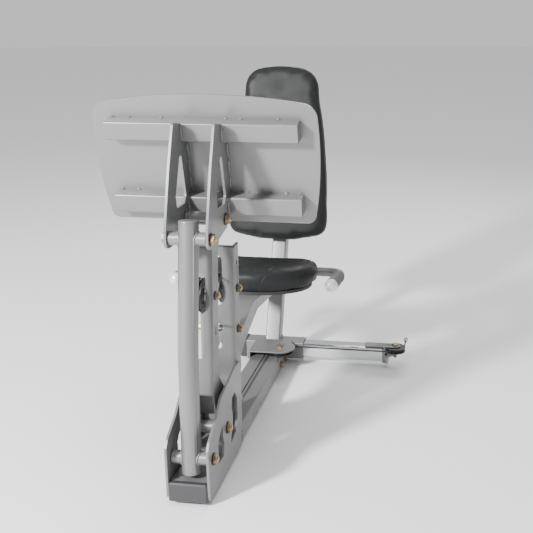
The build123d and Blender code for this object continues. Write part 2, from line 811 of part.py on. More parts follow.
def arm_tube(radius):
    with BuildLine() as path:
        FilletPolyline(*[(0, y, z) for y, z in ARM_TUBE_PATH], radius=900)
    with BuildSketch(Plane.XY.offset(ARM_TUBE_PATH[0][1])) as section:
        with Locations((0, ARM_TUBE_PATH[0][0])):
            Circle(radius)
            Circle(radius - WALL, mode=Mode.SUBTRACT)
    sweep(section.sketch, path=path.line)


with BuildPart() as front_arm_tube:
    arm_tube(FRONT_TUBE_R)
    with BuildSketch(side_plane(-FRONT_TUBE_R - 2)):
        with Locations(FRONT_LOW, FRONT_TOP):
            Circle(PIVOT_TUBE_R)
    extrude(amount=2 * FRONT_TUBE_R + 4, mode=Mode.SUBTRACT)
save(front_arm_tube, "front_arm_tube")

top_run = Vector(0, ARM_TUBE_PATH[2][0] - ARM_TUBE_PATH[1][0], ARM_TUBE_PATH[2][1] - ARM_TUBE_PATH[1][1])
with BuildPart() as front_arm_caps:
    with BuildSketch(Plane(origin=(0, *ARM_TUBE_PATH[2]), x_dir=(1, 0, 0), z_dir=top_run.normalized())):
        Circle(FRONT_TUBE_R)
    extrude(amount=5)
    fillet(front_arm_caps.faces().sort_by(Axis.Z)[-1].edges(), 4)
    with BuildSketch(Plane.XY.offset(ARM_TUBE_PATH[0][1])):
        with Locations((0, ARM_TUBE_PATH[0][0])):
            Circle(FRONT_TUBE_R)
    extrude(amount=-4)
save(front_arm_caps, "front_arm_caps")

front_pivots = [FRONT_LOW, FRONT_TOP]
front_arm_cross_tubes = cross_bars(front_pivots, PIVOT_TUBE_R, -PIVOT_TUBE_HALF, PIVOT_TUBE_HALF, BUSH_R)
save(front_arm_cross_tubes, "front_arm_cross_tubes")


def bushes(points, bores):
    """Flanged bushes in both ends of each pivot tube."""
    with BuildPart() as sleeves:
        for place, bore in zip(points, bores):
            for side in (-1, 1):
                with BuildSketch(side_plane(side * (PIVOT_TUBE_HALF + BUSH_LIP))):
                    with Locations(place):
                        Circle(BUSH_R)
                        Circle(bore, mode=Mode.SUBTRACT)
                extrude(amount=-side * (BUSH_LENGTH + BUSH_LIP))
                with BuildSketch(side_plane(side * PIVOT_TUBE_HALF)):
                    with Locations(place):
                        Circle(PIVOT_TUBE_R - 1)
                        Circle(bore, mode=Mode.SUBTRACT)
                extrude(amount=side * BUSH_LIP)
    return sleeves


front_arm_bushes = bushes(front_pivots, [BUSH_BORE_R, BUSH_BORE_R])
save(front_arm_bushes, "front_arm_bushes")

# ---- rear arm ----------------------------------------------------------------------------
with BuildPart() as rear_arm_channel:
    with BuildSketch(arm_plane(-REAR_HALF_WIDTH)):
        with BuildLine():
            FilletPolyline(
                [
                    (-20, -24),
                    (-26, 34),
                    (REAR_WEB_V, 108),
                    (REAR_WEB_V, 488),
                    (-26, 540),
                    (-18, ARM_LENGTH + 18),
                    (17, ARM_LENGTH + 17),
                    (20, 528),
                    (REAR_FLANGE_V, 470),
                    (REAR_FLANGE_V, 142),
                    (36, 100),
                    (36, 14),
                    (18, -20),
                ],
                radius=9,
                close=True,
            )
        make_face()
    extrude(amount=2 * REAR_HALF_WIDTH)
    with BuildSketch(arm_plane(-REAR_HALF_WIDTH + REAR_SHEET)):
        with BuildLine():
            Polyline(
                (60, -60),
                (60, 700),
                (-90, 700),
                (-90, 492),
                (REAR_WEB_V + REAR_SHEET, 492),
                (REAR_WEB_V + REAR_SHEET, 104),
                (-90, 104),
                (-90, -60),
                close=True,
            )
        make_face()
    extrude(amount=2 * (REAR_HALF_WIDTH - REAR_SHEET), mode=Mode.SUBTRACT)
    with BuildSketch(arm_plane(-REAR_HALF_WIDTH + REAR_SHEET)):
        with Locations((33, 55)):
            Rectangle(6, 66)
    extrude(amount=2 * (REAR_HALF_WIDTH - REAR_SHEET))
    web_plane = Plane(
        origin=(0, *arm_point(REAR_WEB_V - 5, 0)),
        x_dir=(1, 0, 0),
        z_dir=(0, -cos(ARM_LEAN), sin(ARM_LEAN)),
    )
    with BuildSketch(web_plane):
        with Locations((0, ARM_PULLEY_UV[1] + 8)):
            SlotCenterToCenter(72, 36, rotation=90)
        with Locations((0, ARM_PULLEY_UV[1] - 92)):
            SlotCenterToCenter(120, 22, rotation=90)
    extrude(amount=-12, mode=Mode.SUBTRACT)
    with BuildSketch(arm_plane(-REAR_HALF_WIDTH - 1)):
        with Locations((0, 0), (0, ARM_LENGTH)):
            Circle(PIVOT_TUBE_R)
        with Locations(ARM_PULLEY_UV):
            Circle(BEARING_BORE_R)
        with Locations((-30, 268)):
            SlotCenterToCenter(16, 8, rotation=90)
    extrude(amount=2 * REAR_HALF_WIDTH + 2, mode=Mode.SUBTRACT)
save(rear_arm_channel, "rear_arm_channel")

rear_pivots = [REAR_LOW, REAR_TOP]
rear_arm_cross_tubes = cross_bars(rear_pivots, PIVOT_TUBE_R, -PIVOT_TUBE_HALF, PIVOT_TUBE_HALF, BUSH_R)
save(rear_arm_cross_tubes, "rear_arm_cross_tubes")
rear_arm_bushes = bushes(rear_pivots, [BUSH_BORE_R, OPEN_BUSH_BORE_R])
save(rear_arm_bushes, "rear_arm_bushes")

# ---- foot plate --------------------------------------------------------------------------
def plate_outline(inset):
    """Foot plate outline: bowed sides, arched top, corners rounder above than below."""
    low = PLATE_LOW_HALF - inset
    wide = PLATE_WIDE_HALF - inset
    top = PLATE_TOP_HALF - inset
    bottom = PLATE_BOTTOM + inset
    side_top = PLATE_SIDE_TOP - inset
    with BuildLine() as edge:
        Line((-low, bottom), (low, bottom))
        ThreePointArc((low, bottom), (wide, PLATE_WIDEST), (top, side_top))
        ThreePointArc((top, side_top), (0, PLATE_TOP - inset), (-top, side_top))
        ThreePointArc((-top, side_top), (-wide, PLATE_WIDEST), (-low, bottom))
    make_face(edge.edges())


def plate_sheet(depth, thick, inset):
    """Flat sheet of the foot plate's shape, its front at the given depth, growing to the user."""
    with BuildPart() as sheet:
        with BuildSketch(plate_plane(depth)) as outline:
            plate_outline(inset)
            fillet(outline.vertices().group_by(Axis.Y)[0], 24 - inset)
            fillet(outline.vertices().group_by(Axis.Y)[-1], 40 - inset)
        extrude(amount=-thick)
    return sheet


foot_plate = plate_sheet(0, PLATE_THICK, 0)
save(foot_plate, "foot_plate")
foot_plate_tread = plate_sheet(-PLATE_THICK, PAD_RUBBER, 8)
save(foot_plate_tread, "foot_plate_tread")


def plate_channel(span):
    """Channel across the foot plate's front face, open towards the plate."""
    mid = (span[0] + span[1]) / 2
    height = span[1] - span[0]
    with BuildPart() as channel:
        with BuildSketch(plate_side_plane(CHANNEL_LENGTH / 2)):
            with Locations((CHANNEL_DEPTH / 2, mid)):
                Rectangle(CHANNEL_DEPTH, height)
        extrude(amount=CHANNEL_LENGTH)
        fillet(channel.edges().filter_by(Axis.X).sort_by(Axis.Y)[:2], 5)
        with BuildSketch(plate_side_plane(CHANNEL_LENGTH / 2 - CHANNEL_WALL)):
            with Locations(((CHANNEL_DEPTH - CHANNEL_WALL) / 2, mid)):
                Rectangle(CHANNEL_DEPTH - CHANNEL_WALL, height - 2 * CHANNEL_WALL)
        extrude(amount=CHANNEL_LENGTH - 2 * CHANNEL_WALL, mode=Mode.SUBTRACT)
    return channel


upper_channel = plate_channel(UPPER_CHANNEL)
save(upper_channel, "upper_channel")
lower_channel = plate_channel(LOWER_CHANNEL)
save(lower_channel, "lower_channel")


def plate_bracket(x):
    """Side plate between the foot plate and both upper pivots, with a triangular window."""
    with BuildPart() as bracket:
        with BuildSketch(side_plane(x)) as outline:
            Polygon(
                (100, 936),
                plate_point(CHANNEL_DEPTH, UPPER_CHANNEL[1]),
                plate_point(CHANNEL_DEPTH, UPPER_CHANNEL[0]),
                plate_point(0, UPPER_CHANNEL[0]),
                plate_point(0, LOWER_CHANNEL[1]),
                plate_point(CHANNEL_DEPTH, LOWER_CHANNEL[1]),
                plate_point(CHANNEL_DEPTH, LOWER_CHANNEL[0]),
                (188, 660),
                (60, 637),
                (18, 640),
                (20, 690),
                (43, 771),
                (61, 832),
                align=None,
            )
            fillet(outline.vertices().sort_by_distance((60, 637))[0], 20)
            fillet(outline.vertices().sort_by_distance((18, 640))[0], 20)
            fillet(outline.vertices().sort_by_distance((188, 660))[0], 14)
            fillet(outline.vertices().sort_by_distance((100, 936))[0], 8)
            with BuildLine(mode=Mode.PRIVATE) as window:
                FilletPolyline(
                    [(147, 868), (182, 742), (166, 722), (108, 722), (101, 754)],
                    radius=9,
                    close=True,
                )
            make_face(window.edges(), mode=Mode.SUBTRACT)
            with Locations(FRONT_TOP, REAR_TOP):
                Circle(PIVOT_R, mode=Mode.SUBTRACT)
        extrude(amount=BRACKET_THICK)
    return bracket


left_bracket = plate_bracket(-BRACKET_OUTER)
save(left_bracket, "left_bracket")
right_bracket = plate_bracket(BRACKET_INNER)
save(right_bracket, "right_bracket")

# ---- fasteners ---------------------------------------------------------------------------
WASHER = 2
NUT = 9
HEAD = 8


def bolt_at(place, radius, skin, key):
    """One hex bolt along X through two plates whose outer faces are at +-skin."""
    start = -skin - WASHER
    with BuildSketch(side_plane(start)) as shank:
        with Locations(place):
            Circle(radius)
    extrude(shank.sketch, amount=2 * skin + 2 * WASHER + NUT + 3)
    with BuildSketch(side_plane(start)) as head:
        with Locations(place):
            RegularPolygon(key, 6)
    extrude(head.sketch, amount=-HEAD)


def ring_at(place, outer, inner, start, length):
    """One washer, spacer or bearing along X."""
    with BuildSketch(side_plane(start)) as ring:
        with Locations(place):
            Circle(outer)
            Circle(inner, mode=Mode.SUBTRACT)
    extrude(ring.sketch, amount=length)


def nut_at(place, radius, skin, key):
    """One hex nut on the +X end of a bolt."""
    with BuildSketch(side_plane(skin + WASHER)) as nut:
        with Locations(place):
            RegularPolygon(key, 6)
            Circle(radius, mode=Mode.SUBTRACT)
    extrude(nut.sketch, amount=NUT)


# Place, shank radius, half span of the clamped plates and hexagon radius of each cross bolt
PIVOT_KEY = 14
AXLE_KEY = 10
BASE_PULLEY_SKIN = 24
lower_pivot_bolts = [(place, PIVOT_R, GUSSET_OUTER, PIVOT_KEY) for place in (FRONT_LOW, REAR_LOW)]
tower_bolts = [(place, BEARING_BORE_R, TOWER_HALF_WIDTH, AXLE_KEY) for place in (TOWER_PULLEY, ANCHOR)]
base_pulley_bolt = [(BASE_PULLEY, BEARING_BORE_R, BASE_PULLEY_SKIN, AXLE_KEY)]
upper_pivot_bolts = [(place, PIVOT_R, BRACKET_OUTER, PIVOT_KEY) for place in (FRONT_TOP, REAR_TOP)]
arm_axle = arm_point(*ARM_PULLEY_UV)
arm_pulley_bolt = [(arm_axle, BEARING_BORE_R, REAR_HALF_WIDTH, AXLE_KEY)]


def bolts(rows):
    with BuildPart() as group:
        for place, radius, skin, key in rows:
            bolt_at(place, radius, skin, key)
    return group


def nuts(rows):
    with BuildPart() as group:
        for place, radius, skin, key in rows:
            nut_at(place, radius, skin, key)
    return group


def washers(rows):
    with BuildPart() as group:
        for place, radius, skin, key in rows:
            ring_at(place, key + 2, radius, -skin - WASHER, WASHER)
            ring_at(place, key + 2, radius, skin, WASHER)
    return group


frame_rows = lower_pivot_bolts + tower_bolts + base_pulley_bolt
vertical_axles = [
    (CORNER_PULLEY, BEAM_TOP, SLEEVE_TOP + COVER_THICK),
    (END_PULLEY, CLAW_TOP - 22, NOSE_BOTTOM + NOSE_THICK),
]
with BuildPart() as frame_bolts:
    for place, radius, skin, key in frame_rows:
        bolt_at(place, radius, skin, key)
    for centre, low, high in vertical_axles:
        with BuildSketch(Plane.XY.offset(low)):
            with Locations(centre):
                Circle(BEARING_BORE_R)
        extrude(amount=high - low)
        with BuildSketch(Plane.XY.offset(high)):
            with Locations(centre):
                RegularPolygon(AXLE_KEY, 6)
        extrude(amount=HEAD - 1)
    for y in COVER_BOLT_Y:
        with BuildSketch(side_plane(-BEAM_WIDTH / 2 - COVER_LEG)):
            with Locations((y, COVER_BOLT_Z)):
                RegularPolygon(COVER_BOLT_KEY, 6)
        extrude(amount=-6)
        with BuildSketch(side_plane(-BEAM_WIDTH / 2 - COVER_LEG)):
            with Locations((y, COVER_BOLT_Z)):
                Circle(COVER_BOLT_R)
        extrude(amount=COVER_LEG)
        with BuildSketch(side_plane(BEAM_WIDTH / 2)):
            with Locations((y, COVER_BOLT_Z - 4)):
                RegularPolygon(AXLE_KEY, 6)
        extrude(amount=AXLE_KEY)
save(frame_bolts, "frame_bolts")
frame_nuts = nuts(frame_rows)
save(frame_nuts, "frame_nuts")
frame_washers = washers(frame_rows)
save(frame_washers, "frame_washers")

plate_bolts = bolts(upper_pivot_bolts)
save(plate_bolts, "plate_bolts")
plate_nuts = nuts(upper_pivot_bolts)
save(plate_nuts, "plate_nuts")
plate_washers = washers(upper_pivot_bolts)
save(plate_washers, "plate_washers")

arm_axle_bolt = bolts(arm_pulley_bolt)
save(arm_axle_bolt, "arm_axle_bolt")
arm_axle_nut = nuts(arm_pulley_bolt)
save(arm_axle_nut, "arm_axle_nut")
arm_axle_washers = washers(arm_pulley_bolt)
save(arm_axle_washers, "arm_axle_washers")

# Spacers keep each pulley in the middle of its plates; bearings sit on the bolts
SIDE_GAP = 0.5


SPACER_R = BEARING_BORE_R + 3
EYE_HALF = 5


def spacers(rows):
    """Spacer tubes on both sides of a pulley, from the inner faces to the bearing."""
    for place, inner_skin in rows:
        for side in (-1, 1):
            start = side * (PULLEY_HALF + SIDE_GAP)
            reach = inner_skin - PULLEY_HALF - SIDE_GAP
            ring_at(place, SPACER_R, BEARING_BORE_R, start, side * reach)


with BuildPart() as frame_spacers:
    spacers([(TOWER_PULLEY, TOWER_HALF_WIDTH - TOWER_SHEET), (BASE_PULLEY, 19)])
    for side in (-1, 1):
        eye_gap = TOWER_HALF_WIDTH - TOWER_SHEET - EYE_HALF
        ring_at(ANCHOR, SPACER_R, BEARING_BORE_R, side * EYE_HALF, side * eye_gap)
save(frame_spacers, "frame_spacers")
with BuildPart() as arm_axle_spacers:
    spacers([(arm_axle, REAR_HALF_WIDTH - REAR_SHEET)])
save(arm_axle_spacers, "arm_axle_spacers")

bearing_length = 2 * (PULLEY_HALF + SIDE_GAP)
flat_bearing_length = 2 * (FLAT_PULLEY_HALF + SIDE_GAP)
with BuildPart() as frame_bearings:
    for place in (TOWER_PULLEY, BASE_PULLEY):
        ring_at(place, BEARING_R, BEARING_BORE_R, -bearing_length / 2, bearing_length)
    for centre in (CORNER_PULLEY, END_PULLEY):
        with BuildSketch(Plane.XY.offset(CABLE_Z - flat_bearing_length / 2)):
            with Locations(centre):
                Circle(BEARING_R)
                Circle(BEARING_BORE_R, mode=Mode.SUBTRACT)
        extrude(amount=flat_bearing_length)
save(frame_bearings, "frame_bearings")
with BuildPart() as arm_bearing:
    ring_at(arm_axle, BEARING_R, BEARING_BORE_R, -bearing_length / 2, bearing_length)
save(arm_bearing, "arm_bearing")

# ---- pulleys -----------------------------------------------------------------------------
def cross_axle_plane(place):
    return Plane(origin=(0, *place), x_dir=(1, 0, 0), z_dir=(0, -1, 0))


def upright_axle_plane(centre):
    return Plane(origin=(*centre, CABLE_Z), x_dir=(0, 0, 1), z_dir=(0, -1, 0))


tower_pulley = pulley(cross_axle_plane(TOWER_PULLEY), TOWER_WRAP_R, PULLEY_HALF)
save(tower_pulley, "tower_pulley")
arm_pulley = pulley(cross_axle_plane(arm_axle), ARM_WRAP_R, PULLEY_HALF)
save(arm_pulley, "arm_pulley")
base_pulley = pulley(cross_axle_plane(BASE_PULLEY), BASE_WRAP_R, PULLEY_HALF)
save(base_pulley, "base_pulley")
corner_pulley = pulley(upright_axle_plane(CORNER_PULLEY), CORNER_WRAP_R, FLAT_PULLEY_HALF)
save(corner_pulley, "corner_pulley")
end_pulley = pulley(upright_axle_plane(END_PULLEY), END_WRAP_R, FLAT_PULLEY_HALF)
save(end_pulley, "end_pulley")

# ---- cable -------------------------------------------------------------------------------
rise_start, rise_end = tangent(BASE_PULLEY, -BASE_WRAP_R, TOWER_PULLEY, TOWER_WRAP_R)
over_start, over_end = tangent(TOWER_PULLEY, TOWER_WRAP_R, arm_axle, ARM_WRAP_R)
back_start, back_end = tangent(arm_axle, ARM_WRAP_R, ANCHOR, 0)
EYE_REACH = 26
back_run = hypot(back_end[0] - back_start[0], back_end[1] - back_start[1])
eye_share = (back_run - EYE_REACH) / back_run
eye_mouth = (
    back_start[0] + (back_end[0] - back_start[0]) * eye_share,
    back_start[1] + (back_end[1] - back_start[1]) * eye_share,
)


def side_arc(centre, radius, first, last):
    """Arc in the centre plane between two angles."""
    points = [on_circle(centre, radius, a) for a in (first, (first + last) / 2, last)]
    ThreePointArc(*[(0, y, z) for y, z in points])


base_top_angle = angle_of(BASE_PULLEY, rise_start)
base_bottom_angle = -pi / 2 if base_top_angle < 0 else 3 * pi / 2
tower_first = angle_of(TOWER_PULLEY, rise_end)
tower_last = angle_of(TOWER_PULLEY, over_start)
arm_first = angle_of(arm_axle, over_end)
arm_last = angle_of(arm_axle, back_start) + 2 * pi
cable_rear_y = CORNER_PULLEY[1] + CORNER_WRAP_R
diagonal = cos(pi / 4)

with BuildPart() as cable_frame_run:
    with BuildLine() as frame_path:
        tail_x = END_PULLEY[0] + END_WRAP_R
        Line((tail_x, CABLE_TAIL_Y, CABLE_Z), (tail_x, END_PULLEY[1], CABLE_Z))
        ThreePointArc(
            (tail_x, END_PULLEY[1], CABLE_Z),
            (END_PULLEY[0] + END_WRAP_R * diagonal, END_PULLEY[1] - END_WRAP_R * diagonal, CABLE_Z),
            (END_PULLEY[0], cable_rear_y, CABLE_Z),
        )
        Line((END_PULLEY[0], cable_rear_y, CABLE_Z), (CORNER_PULLEY[0], cable_rear_y, CABLE_Z))
        ThreePointArc(
            (CORNER_PULLEY[0], cable_rear_y, CABLE_Z),
            (CORNER_WRAP_R * (1 - diagonal), CORNER_PULLEY[1] + CORNER_WRAP_R * diagonal, CABLE_Z),
            (0, CORNER_PULLEY[1], CABLE_Z),
        )
        Line((0, CORNER_PULLEY[1], CABLE_Z), (0, BASE_PULLEY[0], CABLE_Z))
        side_arc(BASE_PULLEY, BASE_WRAP_R, base_bottom_angle, base_top_angle)
        Line((0, *rise_start), (0, *rise_end))
        side_arc(TOWER_PULLEY, TOWER_WRAP_R, tower_first, tower_last)
    with BuildSketch(Plane(origin=(tail_x, CABLE_TAIL_Y, CABLE_Z), z_dir=(0, -1, 0))):
        Circle(CABLE_R)
    sweep(path=frame_path.line)
save(cable_frame_run, "cable_frame_run")

run_heading = Vector(0, over_end[0] - over_start[0], over_end[1] - over_start[1]).normalized()
with BuildPart() as cable_arm_run:
    with BuildLine() as arm_path:
        Line((0, *over_start), (0, *over_end))
        side_arc(arm_axle, ARM_WRAP_R, arm_first, arm_last)
        Line((0, *back_start), (0, *eye_mouth))
    with BuildSketch(Plane(origin=(0, *over_start), x_dir=(1, 0, 0), z_dir=run_heading)):
        Circle(CABLE_R)
    sweep(path=arm_path.line)
save(cable_arm_run, "cable_arm_run")

eye_heading = Vector(0, back_end[0] - eye_mouth[0], back_end[1] - eye_mouth[1]).normalized()
with BuildPart() as cable_eye:
    with BuildSketch(Plane(origin=(0, *eye_mouth), x_dir=(1, 0, 0), z_dir=eye_heading)):
        Circle(4.5)
    extrude(amount=EYE_REACH)
    ring_at(ANCHOR, 12, BEARING_BORE_R, -5, 10)
    with BuildSketch(side_plane(-6)):
        with Locations(ANCHOR):
            Circle(BEARING_BORE_R)
    extrude(amount=12, mode=Mode.SUBTRACT)
save(cable_eye, "cable_eye")

with BuildPart() as cable_end_fitting:
    with BuildSketch(facing_front(CABLE_TAIL_Y)):
        with Locations((tail_x, CABLE_Z)):
            Circle(5)
    extrude(amount=-18)
    with BuildSketch(facing_front(CABLE_TAIL_Y + 18)):
        with Locations((tail_x, CABLE_Z)):
            RegularPolygon(8, 6)
    extrude(amount=-8)
save(cable_end_fitting, "cable_end_fitting")
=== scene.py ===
import json
import math
import random

import bmesh
import bpy
import numpy as np
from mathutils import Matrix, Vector
from mathutils.bvhtree import BVHTree

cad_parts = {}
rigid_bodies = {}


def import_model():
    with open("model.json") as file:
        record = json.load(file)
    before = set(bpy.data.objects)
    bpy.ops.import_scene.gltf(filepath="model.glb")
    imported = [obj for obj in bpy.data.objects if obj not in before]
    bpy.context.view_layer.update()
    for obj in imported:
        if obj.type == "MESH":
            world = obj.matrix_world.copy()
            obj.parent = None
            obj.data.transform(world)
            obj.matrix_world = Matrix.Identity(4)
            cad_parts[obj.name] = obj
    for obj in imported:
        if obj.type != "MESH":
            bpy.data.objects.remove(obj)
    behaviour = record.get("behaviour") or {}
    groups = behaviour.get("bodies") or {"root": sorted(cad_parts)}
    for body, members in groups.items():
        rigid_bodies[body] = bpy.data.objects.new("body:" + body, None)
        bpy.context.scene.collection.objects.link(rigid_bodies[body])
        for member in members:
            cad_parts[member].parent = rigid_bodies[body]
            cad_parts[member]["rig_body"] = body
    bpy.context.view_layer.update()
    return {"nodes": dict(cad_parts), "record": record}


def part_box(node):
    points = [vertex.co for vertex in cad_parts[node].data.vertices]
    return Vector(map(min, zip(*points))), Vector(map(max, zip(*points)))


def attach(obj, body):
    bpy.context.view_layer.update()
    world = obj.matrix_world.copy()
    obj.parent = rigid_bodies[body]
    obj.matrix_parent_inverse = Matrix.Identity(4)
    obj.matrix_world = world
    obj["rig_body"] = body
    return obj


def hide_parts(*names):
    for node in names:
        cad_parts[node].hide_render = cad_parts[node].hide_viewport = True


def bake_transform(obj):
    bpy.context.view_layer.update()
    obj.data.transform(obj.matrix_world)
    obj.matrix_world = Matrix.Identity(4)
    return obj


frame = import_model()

NODES = frame["nodes"]
X = Vector((1, 0, 0))
MM = 0.001


# ---- reading the frame -------------------------------------------------------------------
def middle(node):
    """Middle of a CAD node's box."""
    low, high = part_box(node)
    return (low + high) / 2


def points_of(made):
    """Vertex places of an object's mesh as an array."""
    return np.array([v.co for v in made.data.vertices], float)


def corners(node):
    """Vertex places of a CAD node as an array."""
    return points_of(NODES[node])


def islands(node):
    """Vertex arrays of a CAD node's separate solids."""
    shape = bmesh.new()
    shape.from_mesh(NODES[node].data)
    bmesh.ops.remove_doubles(shape, verts=shape.verts, dist=1e-6)
    left = set(shape.verts)
    found = []
    while left:
        stack = [min(left, key=lambda v: v.index)]
        left.discard(stack[0])
        group = []
        while stack:
            vertex = stack.pop()
            group.append(tuple(vertex.co))
            for edge in vertex.link_edges:
                other = edge.other_vert(vertex)
                if other in left:
                    left.discard(other)
                    stack.append(other)
        found.append(np.array(group))
    shape.free()
    return sorted(found, key=lambda points: tuple(points.mean(axis=0).round(4)))


def flat_normal(node, towards):
    """Normal of a node's largest flat face, turned to point towards a direction."""
    areas = {}
    for face in NODES[node].data.polygons:
        key = tuple(round(abs(c), 3) for c in face.normal)
        areas.setdefault(key, [0.0, face.normal.copy()])[0] += face.area
    normal = max(areas.values(), key=lambda entry: entry[0])[1]
    return normal if normal.dot(towards) > 0 else -normal


def local_box(node, axes):
    """Lowest and highest values of a node along three axes."""
    values = corners(node) @ np.array([tuple(a) for a in axes]).T
    return values.min(axis=0), values.max(axis=0)


def place(axes, *values):
    """Point at the given distances along some axes."""
    return sum((axis * float(value) for axis, value in zip(axes, values)), Vector())


PLATE_OUT = flat_normal("foot_plate", Vector((0, -1, 0)))
PLATE_AXES = (X, PLATE_OUT.cross(X).normalized(), PLATE_OUT)
SEAT_UP = flat_normal("seat_board", Vector((0, 0, 1)))
SEAT_AXES = (X, SEAT_UP.cross(X).normalized(), SEAT_UP)
BACK_OUT = flat_normal("back_board", Vector((0, -1, 0)))
BACK_AXES = (X, BACK_OUT.cross(X).normalized(), BACK_OUT)


# ---- mesh building -----------------------------------------------------------------------
def skin(rings):
    """Vertices and faces of a surface through rings of equal length, closed at both ends."""
    count = len(rings[0])
    vertices = [point for ring in rings for point in ring]
    faces = []
    for k in range(len(rings) - 1):
        for i in range(count):
            j = (i + 1) % count
            this, following = k * count, (k + 1) * count
            faces.append((this + i, this + j, following + j, following + i))
    faces.append(tuple(reversed(range(count))))
    faces.append(tuple(range(len(vertices) - count, len(vertices))))
    return vertices, faces


def joined(parts):
    """One list of vertices and faces from several."""
    vertices, faces = [], []
    for some_vertices, some_faces in parts:
        start = len(vertices)
        vertices += some_vertices
        faces += [tuple(start + i for i in face) for face in some_faces]
    return vertices, faces


def piece(name, shape, material, body, sharp=None):
    """A finished object from vertices and faces, riding on a body."""
    mesh = bpy.data.meshes.new(name)
    mesh.from_pydata([tuple(v) for v in shape[0]], [], shape[1])
    tidy = bmesh.new()
    tidy.from_mesh(mesh)
    bmesh.ops.recalc_face_normals(tidy, faces=tidy.faces)
    tidy.to_mesh(mesh)
    tidy.free()
    mesh.shade_smooth()
    if sharp is not None:
        mesh.set_sharp_from_angle(angle=math.radians(sharp))
    mesh.materials.append(material)
    made = bpy.data.objects.new(name, mesh)
    bpy.context.scene.collection.objects.link(made)
    if body:
        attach(made, body)
    return made


def across(direction):
    """Two unit vectors square to a direction."""
    first = direction.cross(X if abs(direction.x) < 0.9 else Vector((0, 1, 0))).normalized()
    return first, direction.cross(first).normalized()


def tube(path, radii, sides):
    """Round tube along points, with one radius for each."""
    side = across((path[1] - path[0]).normalized())[0]
    rings = []
    for k, point in enumerate(path):
        ahead = (path[min(k + 1, len(path) - 1)] - path[max(k - 1, 0)]).normalized()
        side = (side - ahead * side.dot(ahead)).normalized()
        other = ahead.cross(side)
        turns = [2 * math.pi * i / sides for i in range(sides)]
        rings.append([point + (side * math.cos(a) + other * math.sin(a)) * radii[k] for a in turns])
    return skin(rings)


def lathe(profile, origin, axis, sides, wobble=None):
    """Turned shape from (along, radius) points; wobble(along, angle) is added to the radius."""
    first, second = across(axis)
    rings = []
    for along, radius in profile:
        ring = []
        for i in range(sides):
            angle = 2 * math.pi * i / sides
            reach = radius + (wobble(along, angle) if wobble else 0)
            ray = first * math.cos(angle) + second * math.sin(angle)
            ring.append(origin + axis * along + ray * reach)
        rings.append(ring)
    return skin(rings)


def evenly(points, step):
    """A polyline's points again, at an even spacing."""
    result = [points[0]]
    for first, last in zip(points, points[1:]):
        count = max(1, round((last - first).length / step))
        result += [first.lerp(last, (k + 1) / count) for k in range(count)]
    return result


def put_points(made, points):
    """Moves an object's vertices to the places in an array."""
    made.data.vertices.foreach_set("co", points.astype(np.float32).ravel())


def surface_tree(made):
    """Tree that finds places on an object's mesh."""
    return BVHTree.FromPolygons(
        [v.co for v in made.data.vertices], [tuple(p.vertices) for p in made.data.polygons]
    )


